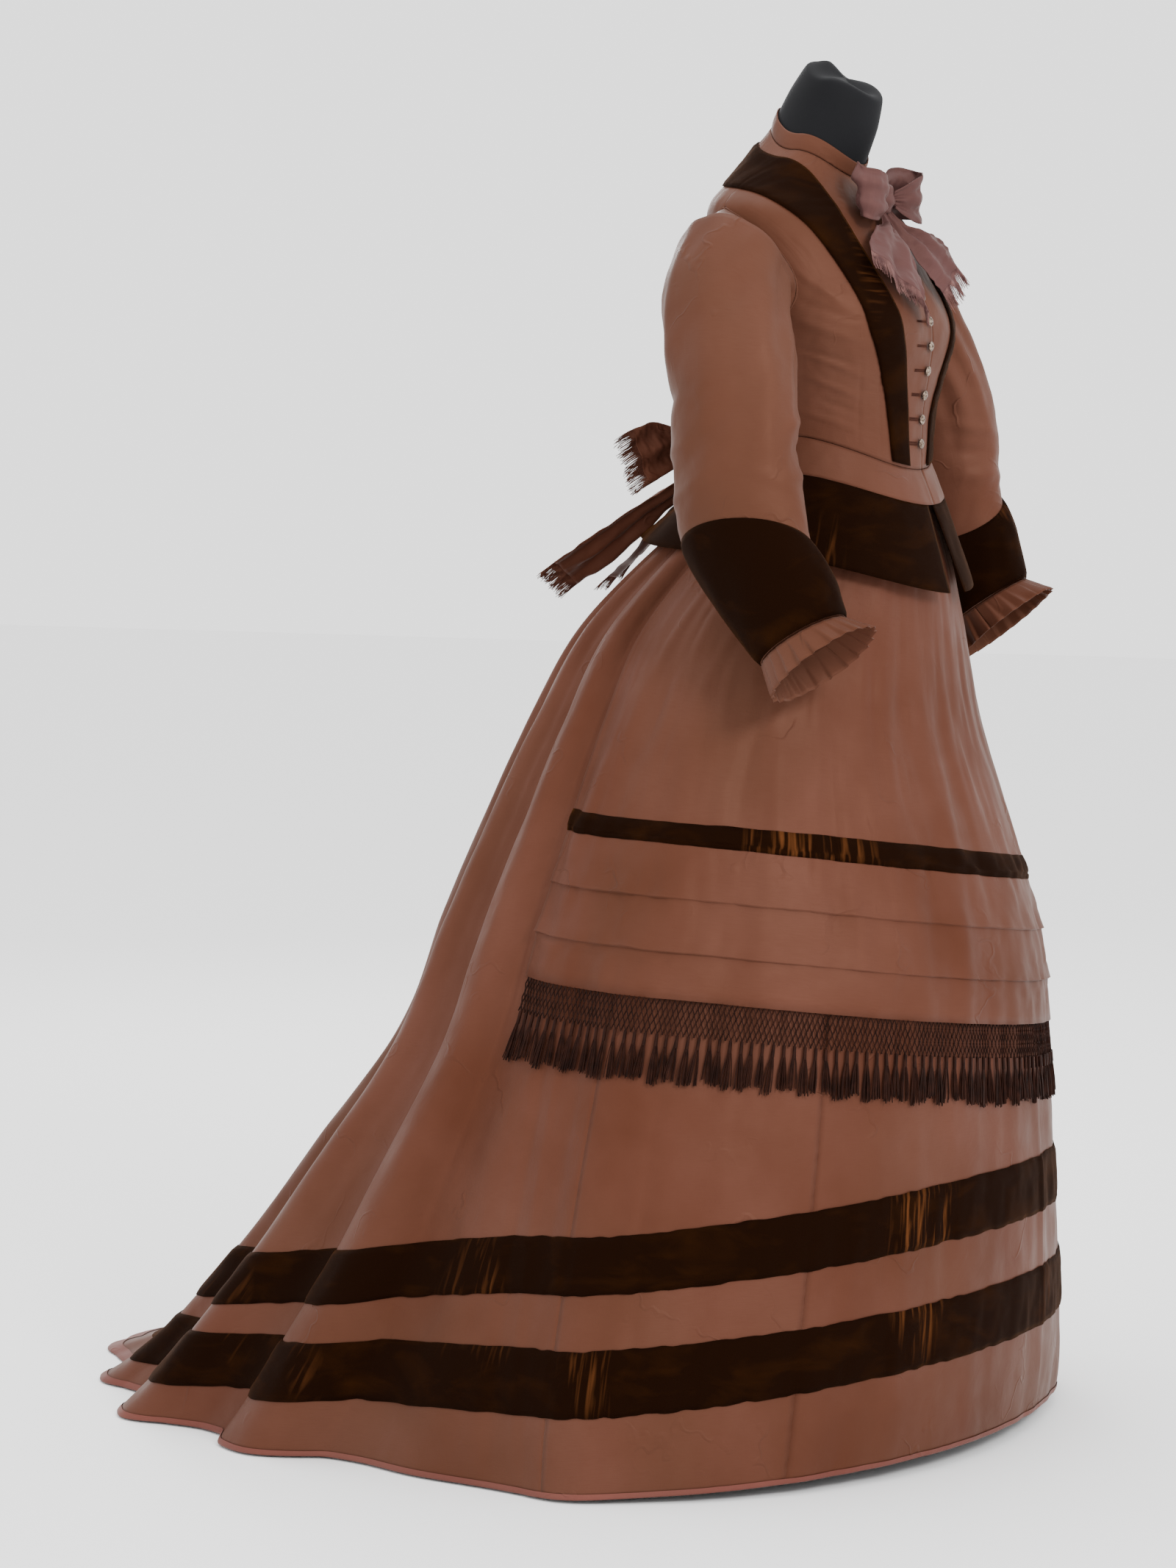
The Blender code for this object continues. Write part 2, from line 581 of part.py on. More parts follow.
def build_bodice():
    inset = math.degrees(SEAM / 2 / BODICE[NECK].half_width)
    panels = {}
    for v in BODICE_ROWS:
        front_end = BODICE_SIDE - armhole(v, ARMHOLE_FRONT) - inset
        back_start = BODICE_SIDE + armhole(v, ARMHOLE_BACK) + inset
        panels.setdefault("bodice_front_left", []).append(
            list(np.linspace(CLOSING_ANGLE + inset, front_end, 10)))
        panels.setdefault("bodice_front_right", []).append(
            list(np.linspace(-front_end, CLOSING_ANGLE - inset, 10)))
        panels.setdefault("bodice_back_left", []).append(
            list(np.linspace(back_start, 180 - inset, 8)))
        panels.setdefault("bodice_back_right", []).append(
            list(np.linspace(-180 + inset, -back_start, 8)))
    for name, angles in panels.items():
        outer = layer(bodice_point, BODICE_ROWS, angles, 0.0)
        inner = layer(bodice_point, BODICE_ROWS, angles, -TAFFETA)
        place(name, wall_mesh(name, outer, inner), RUST, 0.45)


def build_revers():
    """Velvet trim, laid on the panels whose darts and shoulder seams it crosses."""
    count = 24
    places = range(len(REVERS))
    outer, inner = [], []
    for at in np.linspace(0, len(REVERS) - 1, count):
        inner_angle, inner_level, outer_angle, outer_level = read_row(REVERS, Trim._fields, places, at)
        across = np.linspace(0.0, 1.0, 3)
        spots = [(inner_level + (outer_level - inner_level) * s,
                  inner_angle + (outer_angle - inner_angle) * s) for s in across]
        outer.append([bodice_facet(v, a) + (REVERS_LAYER + VELVET) * outward(bodice_point, v, a)
                      for v, a in spots])
        inner.append([bodice_facet(v, a) + REVERS_LAYER * outward(bodice_point, v, a)
                      for v, a in spots])
    place("velvet_revers_left", wall_mesh("velvet_revers_left", outer, inner), DARK_VELVET, 0.9)
    mesh = wall_mesh("velvet_revers_right", mirrored(outer), mirrored(inner))
    place("velvet_revers_right", mesh, DARK_VELVET, 0.9)


def build_ring_piece(name, table, levels, angles, thickness, colour, roughness, closed_round=False):
    """A wall on a loft through rings, its outer side on the loft."""
    def surface(level, angle):
        return ring_point(table, level, angle)

    grid = [angles] * len(levels)
    outer = layer(surface, levels, grid, 0.0)
    inner = layer(surface, levels, grid, -thickness)
    return place(name, wall_mesh(name, outer, inner, closed_round), colour, roughness)


def build_basque():
    left = [CLOSING_ANGLE + 0.2] + list(np.linspace(0, 180, BASQUE_STEPS + 1))[1:]
    right = [360.0 - a for a in left[-2:0:-1]] + [360.0 - PEPLUM_OPENING]
    band_round = left + right + [360.0 + CLOSING_ANGLE - 0.2]
    top, edge = 3.0, 2.0
    build_ring_piece("basque_band", BASQUE, [edge + 0.006, top], band_round, TAFFETA, RUST, 0.45)
    levels = [0, 1, edge - 0.006]
    build_ring_piece("peplum_left", BASQUE, levels, left[:-1] + [179.9], VELVET, DARK_VELVET, 0.9)
    build_ring_piece("peplum_right", BASQUE, levels, [180.1] + right, VELVET, DARK_VELVET, 0.9)


def form_angles():
    """Columns of the form, the collar and the waistband, which lie close on each other."""
    return [CLOSING_ANGLE + 360.0 * k / FORM_SIDES for k in range(FORM_SIDES)]


def build_collar():
    angles = form_angles()
    angles = [angles[0] + 0.4] + angles[1:] + [angles[0] + 359.6]
    build_ring_piece("collar", COLLAR, [0, 1], angles, TAFFETA, RUST, 0.45)


def sleeve_ring(station, theta, side, swell=0.0):
    """Point of a section on the wearer's right: 0 underneath, 90 in front, 180 on top.

    Side 0 gives the right sleeve, side 1 the left one, still to be mirrored.
    """
    roll, pitch = math.radians(station.roll), math.radians(station.pitch)
    ahead = np.array([0.0, -math.cos(pitch), math.sin(pitch)])
    up = np.array([-math.sin(roll), math.cos(roll) * math.sin(pitch), math.cos(roll) * math.cos(pitch)])
    turn = math.radians(theta)
    centre = np.array([-station.out, station.y + side * station.left_y,
                       station.z + side * station.left_z])
    return (centre + (station.half_depth + swell) * math.sin(turn) * ahead
            - (station.half_width + swell) * math.cos(turn) * up)


def armhole_curve():
    """The right armhole, from its lowest point round the front to the top and back down."""
    rows = [v for v in BODICE_ROWS if UNDERARM <= v <= SHOULDER_TIP]
    front = [bodice_point(v, -BODICE_SIDE + armhole(v, ARMHOLE_FRONT)) for v in rows]
    back = [bodice_point(v, -BODICE_SIDE - armhole(v, ARMHOLE_BACK)) for v in rows]
    curve = front + back[-2:0:-1]
    centre = sum(curve) / len(curve)
    shrink = 2 * SEAM / np.linalg.norm(curve[0] - centre)
    return [p + (centre - p) * shrink for p in curve]


def sleeve_grid(side):
    """Rows of a sleeve's outer side, from the armhole to the wrist."""
    curve = armhole_curve()
    thetas = np.linspace(0, 360, len(curve) + 1)[:-1]
    return [curve] + [[sleeve_ring(station, t, side) for t in thetas] for station in SLEEVE]


def grid_normals(grid):
    """Outward normals at the points of a grid that is closed round."""
    rows, columns = len(grid), len(grid[0])
    normals = []
    for i in range(rows):
        low, high = grid[max(i - 1, 0)], grid[min(i + 1, rows - 1)]
        row = []
        for j in range(columns):
            round_step = grid[i][(j + 1) % columns] - grid[i][j - 1]
            normal = np.cross(round_step, high[j] - low[j])
            row.append(normal / np.linalg.norm(normal))
        normals.append(row)
    return normals


def moved(grid, normals, out):
    return [[p + n * out for p, n in zip(row, normal_row)] for row, normal_row in zip(grid, normals)]


def build_sleeves():
    for side, hand in enumerate(("right", "left")):
        grid = sleeve_grid(side)
        normals = grid_normals(grid)
        inner = moved(grid, normals, -TAFFETA)
        cuff_rows = slice(CUFF_TOP + 1, WRIST + 2)
        cuff_low = moved(grid, normals, LAYER)[cuff_rows]
        cuff_high = moved(grid, normals, LAYER + VELVET)[cuff_rows]
        thetas = [180.0 * k / FRILL_PLEATS for k in range(2 * FRILL_PLEATS)]
        frill_high, frill_low = [], []
        for station, wave in ((FRILL_START, FRILL_WAVE * 0.25), (FRILL_END, FRILL_WAVE)):
            swells = [wave if k % 2 else -wave for k in range(len(thetas))]
            frill_high.append([sleeve_ring(station, t, side, w) for t, w in zip(thetas, swells)])
            frill_low.append([sleeve_ring(station, t, side, w - FRILL) for t, w in zip(thetas, swells)])
        for name, high, low, colour, roughness in (
                ("sleeve_", grid, inner, RUST, 0.45), ("cuff_", cuff_high, cuff_low, DARK_VELVET, 0.9),
                ("wrist_ruffle_", frill_high, frill_low, RUST, 0.5)):
            if side:
                high, low = mirrored(high), mirrored(low)
            mesh = wall_mesh(name + hand, high, low, closed_round=True)
            place(name + hand, mesh, colour, roughness)


def build_buttons():
    """Domed buttons down the closing, each just clear of the right front's edge."""
    for k in range(BUTTON_COUNT):
        z = BUTTON_TOP_Z + (BUTTON_LOW_Z - BUTTON_TOP_Z) * k / (BUTTON_COUNT - 1)
        levels = np.linspace(0, NECK, 400)
        level = min(levels, key=lambda v: abs(bodice_point(v, 0.0)[2] - z))
        normal = outward(bodice_point, level, 0.0)
        centre = bodice_point(level, 0.0) + normal * (BUTTON_HALF_HEIGHT + LAYER)
        shape = bmesh.new()
        bmesh.ops.create_uvsphere(shape, u_segments=8, v_segments=3, radius=BUTTON_RADIUS)
        mesh = bpy.data.meshes.new(f"button_{k + 1}")
        shape.to_mesh(mesh)
        shape.free()
        button = place(f"button_{k + 1}", mesh, (0.35, 0.28, 0.22), 0.3, 0.6)
        button.location = centre
        button.rotation_euler = (math.atan2(-normal[1], normal[2]), 0.0, 0.0)
        button.scale = (1.0, 1.0, BUTTON_HALF_HEIGHT / BUTTON_RADIUS)


def ribbon_grid(table, thickness, columns=BOW_COLUMNS, rows=BOW_ROWS):
    """Two sides of a ribbon read through its sections, with soft waves along it."""
    places = range(len(table))
    middles, halves = [], []
    for at in np.linspace(0, len(table) - 1, rows + 1):
        x, y, z, wide_x, wide_y, wide_z = read_row(table, Section._fields, places, at)
        middles.append(np.array([x, y, z]))
        halves.append(np.array([wide_x, wide_y, wide_z]))
    front, back = [], []
    for i, (middle, half) in enumerate(zip(middles, halves)):
        along = middles[min(i + 1, rows)] - middles[max(i - 1, 0)]
        normal = np.cross(half, along)
        normal /= np.linalg.norm(normal)
        line = np.linspace(-1.0, 1.0, columns + 1)
        share = math.sin(math.pi * min(i / rows, 0.5))
        wave = [BOW_WAVE * share * math.cos(2.2 * math.pi * s) for s in line]
        front.append([middle + half * s + normal * (w + thickness / 2) for s, w in zip(line, wave)])
        back.append([middle + half * s + normal * (w - thickness / 2) for s, w in zip(line, wave)])
    return front, back


def build_ribbon(name, table, colour, side=1):
    """A loop or end of a bow; side -1 puts it on the wearer's right."""
    if side < 0:
        table = [row._replace(x=-row.x, wide_x=-row.wide_x) for row in table]
    front, back = ribbon_grid(table, FRILL)
    place(name, wall_mesh(name, front, back), colour, 0.45)
    return front, back


def build_bow_fringe(name, front, back, colour, hang):
    """Ravelled end of a ribbon: a narrow strip, parted from it, and its strands."""
    last_front, last_back = front[-1], back[-1]
    ahead = last_front[0] - front[-2][0]
    ahead /= np.linalg.norm(ahead)
    share = np.linspace(0, BOW_COLUMNS, BOW_STRANDS + 1)

    def along(row, s):
        k = min(int(s), BOW_COLUMNS - 1)
        return row[k] + (row[k + 1] - row[k]) * (s - k)

    start, end = SEAM, SEAM + BOW_STRIP
    high = [[along(last_front, s) + ahead * d for s in share] for d in (end, start)]
    low = [[along(last_back, s) + ahead * d for s in share] for d in (end, start)]
    mesh = wall_mesh(name, high, low)
    columns = len(share)
    hang = np.array(hang)
    strands = []
    for j in range(columns - 1):
        root = sum(high[0][j:j + 2] + low[0][j:j + 2]) / 4
        wide = (high[0][j + 1] - high[0][j]) * 0.2
        deep = (high[0][j] - low[0][j]) * 0.4
        tip = (root + hang * BOW_STRAND_LENGTH, wide, deep)
        strands.append(((j, j + 1, 2 * columns + j + 1, 2 * columns + j), [tip]))
    grow_strands(mesh, strands)
    place(name, mesh, colour, 0.6)


def build_knot(name, knot, colour):
    x, y, z, half_x, half_y, half_z = knot
    shape = bmesh.new()
    bmesh.ops.create_uvsphere(shape, u_segments=12, v_segments=7, radius=1.0)
    mesh = bpy.data.meshes.new(name)
    shape.to_mesh(mesh)
    shape.free()
    piece = place(name, mesh, colour, 0.45)
    piece.location = (x, y, z)
    piece.scale = (half_x, half_y, half_z)


def unit(*vector):
    return tuple(np.array(vector) / np.linalg.norm(vector))


def build_bows():
    build_knot("neck_bow_knot", NECK_KNOT, MAUVE)
    build_ribbon("neck_bow_loop_right", NECK_LOOP, MAUVE, -1)
    build_ribbon("neck_bow_loop_left", NECK_LOOP, MAUVE)
    ends = build_ribbon("neck_bow_tail_right", NECK_TAIL_RIGHT, MAUVE)
    build_bow_fringe("neck_bow_fringe_right", *ends, MAUVE, unit(-0.25, -0.25, -1.0))
    ends = build_ribbon("neck_bow_tail_left", NECK_TAIL_LEFT, MAUVE)
    build_bow_fringe("neck_bow_fringe_left", *ends, MAUVE, unit(0.35, -0.35, -1.0))
    build_knot("back_bow_knot", BACK_KNOT, RUST)
    for side, hand in ((-1, "right"), (1, "left")):
        build_ribbon("back_bow_loop_" + hand, BACK_LOOP, RUST, side)
        ends = build_ribbon("back_bow_end_upper_" + hand, BACK_END_UPPER, RUST, side)
        build_bow_fringe("back_bow_fringe_upper_" + hand, *ends, RUST, unit(side * 0.3, 0.6, -0.6))
        ends = build_ribbon("back_bow_end_lower_" + hand, BACK_END_LOWER, RUST, side)
        build_bow_fringe("back_bow_fringe_lower_" + hand, *ends, RUST, unit(side * 0.2, 0.7, -0.7))


def build_form():
    """Padded body with a leaning neck, on a pole and a round base."""
    angles = form_angles()
    rows = [[ring_point(FORM, v, a) for a in angles] for v in range(len(FORM))]
    for v in FORM_ROWS:
        rows.append([bodice_point(v, a) - FORM_INSET * outward(bodice_point, v, a) for a in angles])
    rows += [[ring_point(NECK_RINGS, v, a) for a in angles] for v in range(len(NECK_RINGS))]
    count = len(angles)
    points = [p for row in rows for p in row]
    faces = [tuple(range(count))[::-1], tuple(range(len(points) - count, len(points)))]
    for i in range(len(rows) - 1):
        for j in range(count):
            k = (j + 1) % count
            low, high = i * count, (i + 1) * count
            faces.append((low + j, low + k, high + k, high + j))
    mesh = bpy.data.meshes.new("form_torso")
    mesh.from_pydata([tuple(p) for p in points], [], faces)
    place("form_torso", mesh, FORM_BLACK, 0.85)
    under = min(row.z_front for row in FORM) - SEAM
    build_cylinder("form_pole", POLE_RADIUS, BASE_HEIGHT + SEAM, under)
    build_cylinder("form_base", BASE_RADIUS, 0.0, BASE_HEIGHT)


def build_cylinder(name, radius, low, high):
    shape = bmesh.new()
    bmesh.ops.create_cone(shape, cap_ends=True, segments=FORM_SIDES, radius1=radius, radius2=radius,
                          depth=high - low)
    mesh = bpy.data.meshes.new(name)
    shape.to_mesh(mesh)
    shape.free()
    piece = place(name, mesh, FORM_BLACK, 0.4)
    piece.location = (0.0, 0.0, (low + high) / 2)


clear_scene()
dress = new_collection("two_piece_dress_on_dress_form")
build_form()
build_skirt()
build_skirt_ring("hem_binding", [HEM, HEM + HEM_ROLL], ROLL_REACH - ROLL_THICKNESS, ROLL_THICKNESS,
                 PINK, 0.5)
build_skirt_ring("velvet_band_lower", [LOW_A, LOW_B], LAYER, VELVET, DARK_VELVET, 0.9)
build_skirt_ring("velvet_band_upper", [UP_A, UP_B], LAYER, VELVET, DARK_VELVET, 0.9)
build_ring_piece("skirt_waistband", WAISTBAND, [0, 1], form_angles(), TAFFETA, RUST, 0.5,
                 closed_round=True)
build_apron()
build_apron_fringe()
build_bodice()
build_revers()
build_basque()
build_collar()
build_sleeves()
build_buttons()
build_bows()
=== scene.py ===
import math
from collections import namedtuple

import bmesh
import bpy
import numpy as np
from mathutils import Matrix, Vector


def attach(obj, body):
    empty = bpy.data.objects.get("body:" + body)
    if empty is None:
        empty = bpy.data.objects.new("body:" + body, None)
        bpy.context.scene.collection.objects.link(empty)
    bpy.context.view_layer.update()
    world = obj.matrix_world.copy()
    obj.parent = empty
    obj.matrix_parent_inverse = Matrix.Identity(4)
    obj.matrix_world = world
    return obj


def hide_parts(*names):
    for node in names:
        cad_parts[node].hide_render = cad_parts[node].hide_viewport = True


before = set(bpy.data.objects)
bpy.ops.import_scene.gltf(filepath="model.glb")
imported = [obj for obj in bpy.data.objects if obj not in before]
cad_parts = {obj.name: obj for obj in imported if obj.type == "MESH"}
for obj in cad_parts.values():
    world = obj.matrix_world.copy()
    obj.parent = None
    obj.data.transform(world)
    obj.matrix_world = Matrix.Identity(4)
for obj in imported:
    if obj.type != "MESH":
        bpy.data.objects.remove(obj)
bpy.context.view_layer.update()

# The dress form: a limbless padded body in black cotton jersey, with a leaning neck that ends
# in a cut face. It stands on an iron pole and a round cast base, both painted black.
Ring = namedtuple("Ring", "z_front z_side z_back half_width y_front y_side y_back")
FORM_LOW = [Ring(*row) for row in (
    (0.9, 0.9, 0.9, 0.0, 0.01, 0.01, 0.01), (0.9, 0.9, 0.9, 0.11, -0.078, 0.01, 0.102),
    (0.904, 0.904, 0.904, 0.118, -0.085, 0.01, 0.11),
    (0.96, 0.965, 0.97, 0.128, -0.106, 0.006, 0.122),
    (1.0654, 1.0654, 1.0654, 0.1141, -0.1089, -0.0059, 0.0895),
    (1.088, 1.088, 1.088, 0.1117, -0.1067, -0.0065, 0.0862),
)]
FORM_NECK = [Ring(*row) for row in (
    (1.3945, 1.4245, 1.4565, 0.0568, -0.038, 0.008, 0.0568),
    (1.409, 1.442, 1.475, 0.052, -0.045, 0.003, 0.05),
    (1.446, 1.47, 1.498, 0.047, -0.06, -0.01, 0.037),
    (1.476, 1.498, 1.522, 0.0455, -0.0655, -0.022, 0.018),
    (1.484, 1.503, 1.524, 0.038, -0.059, -0.022, 0.008),
    (1.487, 1.504, 1.5235, 0.02, -0.042, -0.024, -0.005),
    (1.5045, 1.5045, 1.5045, 0.0, -0.024, -0.024, -0.024),
)]
BODICE = [Ring(*row) for row in (
    (1.075, 1.113, 1.118, 0.118, -0.117, -0.01, 0.092),
    (1.13, 1.15, 1.155, 0.124, -0.118, -0.01, 0.1),
    (1.175, 1.187, 1.19, 0.134, -0.123, -0.008, 0.11),
    (1.215, 1.222, 1.227, 0.144, -0.127, -0.005, 0.116),
    (1.247, 1.262, 1.272, 0.149, -0.123, 0.002, 0.118),
    (1.285, 1.308, 1.318, 0.152, -0.105, 0.015, 0.117),
    (1.325, 1.358, 1.362, 0.15, -0.083, 0.038, 0.11),
    (1.352, 1.385, 1.398, 0.112, -0.066, 0.038, 0.094),
    (1.375, 1.405, 1.43, 0.08, -0.052, 0.026, 0.077),
    (1.394, 1.424, 1.456, 0.059, -0.04, 0.008, 0.059),
)]
BUST_ANGLE, BUST_HALF_ANGLE = 36.0, 26.0
BUST_LEVEL, BUST_HALF_LEVEL, BUST_REACH = 3.3, 1.5, 0.012
FORM_INSET = 0.0038
FORM_LEVELS = (0.35, 1, 2, 3, 3.5, 4.5, 5.5, 6, 7, 8, 9)
FORM_COLUMNS, FORM_ROWS = 72, 110
FORM_BEND, JERSEY_SIZE = 0.6, (0.8, 0.6)


def read_smooth(places, values, at):
    """Cubic reading of a column of a table between its rows."""
    places, values = np.asarray(places, float), np.asarray(values, float)
    slopes = np.gradient(values, places, axis=0)
    i = np.clip(np.searchsorted(places, at) - 1, 0, len(places) - 2)
    span = places[i + 1] - places[i]
    t = (at - places[i]) / span
    if values.ndim > 1:
        span, t = span[:, None], t[:, None]
    ease = t * t * (3 - 2 * t)
    bend = slopes[i] * t * (1 - t) ** 2 - slopes[i + 1] * t * t * (1 - t)
    return values[i + 1] * ease + values[i] * (1 - ease) + span * bend


def body_ring(half_width, y_front, y_side, y_back, angle):
    turn = np.radians(angle)
    reach = np.where(np.cos(turn) > 0, y_side - y_front, y_back - y_side)
    return half_width * np.sin(turn), y_side - reach * np.cos(turn)


def line_height(z_front, z_side, z_back, angle, curve=2.0):
    """Height of a line that runs round the body."""
    lean = np.cos(np.radians(angle))
    end = np.where(lean > 0, z_front, z_back)
    return z_side + (end - z_side) * np.abs(lean) ** curve


def ring_point(table, level, angle):
    """Points on rings laid one above another; level 0 is the lowest ring."""
    level, angle = np.broadcast_arrays(np.asarray(level, float), np.asarray(angle, float))
    level, angle = level.ravel(), angle.ravel()
    rows = [read_smooth(range(len(table)), column, level) for column in zip(*table)]
    x, y = body_ring(*rows[3:], angle)
    return np.stack([x, y, line_height(*rows[:3], angle)], -1)


def away(angle, reach):
    """A step level and straight out from the form's axis."""
    turn = np.radians(angle)
    return np.stack([np.sin(turn) * reach, -np.cos(turn) * reach, 0 * reach], -1)


def outward(surface, across, up, step_across, step_up):
    side = surface(across + step_across, up) - surface(across - step_across, up)
    rise = surface(across, up + step_up) - surface(across, up - step_up)
    normal = np.cross(side, rise)
    return normal / np.maximum(np.linalg.norm(normal, axis=1), 1e-12)[:, None]


def body_point(angle, level):
    """The body under the bodice, with the bust's fullness."""
    aside = (np.abs(angle) - BUST_ANGLE) / BUST_HALF_ANGLE
    above = (level - BUST_LEVEL) / BUST_HALF_LEVEL
    reach = BUST_REACH * np.exp(-aside * aside - above * above)
    return ring_point(BODICE, level, angle) + away(angle, reach)


def show(name, data):
    piece = bpy.data.objects.new(name, data)
    bpy.context.scene.collection.objects.link(piece)
    return piece


def lay_cloth(name, columns, rows, size, surface, closed=False, thick=0.0):
    """Lay a grid of cloth over a surface, with a UV map in metres, as wide and long as size."""
    shape = bmesh.new()
    bmesh.ops.create_grid(shape, x_segments=columns, y_segments=rows, size=0.5)
    flat = np.array([v.co[:2] for v in shape.verts]) + 0.5
    mesh = bpy.data.meshes.new(name)
    shape.to_mesh(mesh)
    shape.free()
    mesh.vertices.foreach_set("co", surface(flat[:, 0], flat[:, 1]).ravel())
    corners = np.empty(len(mesh.loops), int)
    mesh.loops.foreach_get("vertex_index", corners)
    mesh.uv_layers.new(name="Cloth").data.foreach_set("uv", (flat * size)[corners].ravel())
    if closed:
        shape = bmesh.new()
        shape.from_mesh(mesh)
        bmesh.ops.remove_doubles(shape, verts=shape.verts, dist=1e-6)
        shape.to_mesh(mesh)
        shape.free()
    mesh.shade_smooth()
    piece = show(name, mesh)
    if thick:
        wall = piece.modifiers.new("Cloth thickness", "SOLIDIFY")
        wall.thickness, wall.offset = thick, -1.0
    return piece


def fit(piece, material, nodes):
    """Finish a piece, let it ride on the form and stand for its nodes."""
    piece.data.materials.clear()
    piece.data.materials.append(material)
    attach(piece, "root")
    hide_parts(*nodes)
    return piece


def start_material(name, roughness, metallic=0.0):
    material = bpy.data.materials.new(name)
    material.use_nodes = True
    nodes, links = material.node_tree.nodes, material.node_tree.links
    shader = nodes["Principled BSDF"]
    shader.inputs["Roughness"].default_value = roughness
    shader.inputs["Metallic"].default_value = metallic
    return material, nodes, links, shader


def add_noise(nodes, links, place, scale, detail=3.0, stretch=(1, 1, 1), distortion=0.0):
    mapping = nodes.new("ShaderNodeMapping")
    mapping.inputs["Scale"].default_value = stretch
    links.new(place, mapping.inputs["Vector"])
    noise = nodes.new("ShaderNodeTexNoise")
    noise.inputs["Scale"].default_value = scale
    noise.inputs["Detail"].default_value = detail
    noise.inputs["Distortion"].default_value = distortion
    links.new(mapping.outputs["Vector"], noise.inputs["Vector"])
    return noise.outputs["Fac"]


def add_mix(nodes, links, factor, first, second):
    """Colour between two colours, each a value or another node's colour."""
    mix = nodes.new("ShaderNodeMix")
    mix.data_type = "RGBA"
    links.new(factor, mix.inputs["Factor"])
    for socket, colour in ((mix.inputs["A"], first), (mix.inputs["B"], second)):
        if isinstance(colour, tuple):
            socket.default_value = (*colour, 1.0)
        else:
            links.new(colour, socket)
    return mix.outputs["Result"]


def add_bump(nodes, links, height, strength, distance, before=None):
    bump = nodes.new("ShaderNodeBump")
    bump.inputs["Strength"].default_value = strength
    bump.inputs["Distance"].default_value = distance
    links.new(height, bump.inputs["Height"])
    if before:
        links.new(before, bump.inputs["Normal"])
    return bump.outputs["Normal"]


def black_jersey():
    material, nodes, links, shader = start_material("black jersey", 0.75)
    place = nodes.new("ShaderNodeTexCoord").outputs["Object"]
    soft = add_noise(nodes, links, place, 14.0)
    colour = add_mix(nodes, links, soft, (0.0030, 0.0030, 0.0036), (0.0062, 0.0062, 0.0074))
    links.new(colour, shader.inputs["Base Color"])
    shader.inputs["Sheen Weight"].default_value = 0.01
    shader.inputs["Specular IOR Level"].default_value = 0.12
    shader.inputs["Sheen Tint"].default_value = (0.5, 0.52, 0.58, 1.0)
    knit = add_noise(nodes, links, place, 900.0, 1.0, (1, 1, 0.5))
    links.new(add_bump(nodes, links, knit, 0.25, 0.0004), shader.inputs["Normal"])
    return material


def black_iron():
    material, nodes, links, shader = start_material("black iron", 0.42)
    place = nodes.new("ShaderNodeTexCoord").outputs["Object"]
    worn = add_noise(nodes, links, place, 30.0, 5.0)
    colour = add_mix(nodes, links, worn, (0.012, 0.012, 0.013), (0.035, 0.032, 0.030))
    links.new(colour, shader.inputs["Base Color"])
    cast = add_noise(nodes, links, place, 420.0)
    links.new(add_bump(nodes, links, cast, 0.3, 0.0004), shader.inputs["Normal"])
    return material


def form_rings():
    """Rings of the padding: the hips, then a little inside the bodice, then the bare neck."""
    angles = np.linspace(0, 360, FORM_COLUMNS + 1)
    signed = np.where(angles > 180, angles - 360, angles)
    rings = [ring_point(FORM_LOW, v, angles) for v in range(len(FORM_LOW))]
    for level in FORM_LEVELS:
        levels = np.full_like(signed, level)
        inset = outward(body_point, signed, levels, 0.4, 0.02) * FORM_INSET
        rings.append(body_point(signed, levels) - inset)
    rings += [ring_point(FORM_NECK, v, angles) for v in range(len(FORM_NECK))]
    return np.array(rings)


def form_surface(u, v):
    rings = form_rings()
    column = np.round(u * FORM_COLUMNS).astype(int)
    level = v * (len(rings) - 1)
    i = np.clip(level.astype(int), 0, len(rings) - 2)
    slopes = np.gradient(rings, axis=0)
    t = (level - i)[:, None]
    ease = t * t * (3 - 2 * t)
    bend = slopes[i, column] * t * (1 - t) ** 2 - slopes[i + 1, column] * t * t * (1 - t)
    return rings[i + 1, column] * ease + rings[i, column] * (1 - ease) + FORM_BEND * bend


body = lay_cloth("padded_body", FORM_COLUMNS, FORM_ROWS, JERSEY_SIZE, form_surface, closed=True)
fit(body, black_jersey(), ["form_torso"])
iron = black_iron()
for node in ("form_pole", "form_base"):
    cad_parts[node].data.materials.clear()
    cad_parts[node].data.materials.append(iron)

# The skirt: five gored panels of rust silk taffeta, sewn edge to edge and pleated into a
# waistband behind, where they fan out into a train. The hem is bound in rose silk.
Height = namedtuple("Height", "z y_front half_width y_side y_back")
SKIRT_FORM = [Height(*row) for row in (
    (0.0, -0.228, 0.476, 0.11, 0.85), (0.05, -0.236, 0.47, 0.112, 0.79),
    (0.12, -0.24, 0.456, 0.112, 0.722), (0.2, -0.241, 0.436, 0.11, 0.65),
    (0.31, -0.24, 0.408, 0.106, 0.566), (0.45, -0.235, 0.37, 0.098, 0.462),
    (0.57, -0.224, 0.334, 0.09, 0.421), (0.68, -0.194, 0.298, 0.083, 0.377),
    (0.8, -0.158, 0.254, 0.072, 0.325), (0.9, -0.146, 0.207, 0.06, 0.27),
    (0.98, -0.134, 0.16, 0.03, 0.192), (1.07, -0.11, 0.114, -0.008, 0.086),
)]
Fold = namedtuple("Fold", "angle half_width reach_hem reach_waist")
FOLDS = [Fold(*row) for row in (
    (80, 8, 0.012, 0.0), (96, 7, -0.008, -0.002), (108, 6, -0.026, -0.008), (117, 5, 0.024, 0.008),
    (126, 5, -0.022, -0.006), (135, 5, 0.032, 0.008), (144, 5, -0.03, -0.006),
    (153, 5, 0.018, 0.008), (162, 5, -0.018, -0.006), (171, 5, 0.01, 0.006),
)]
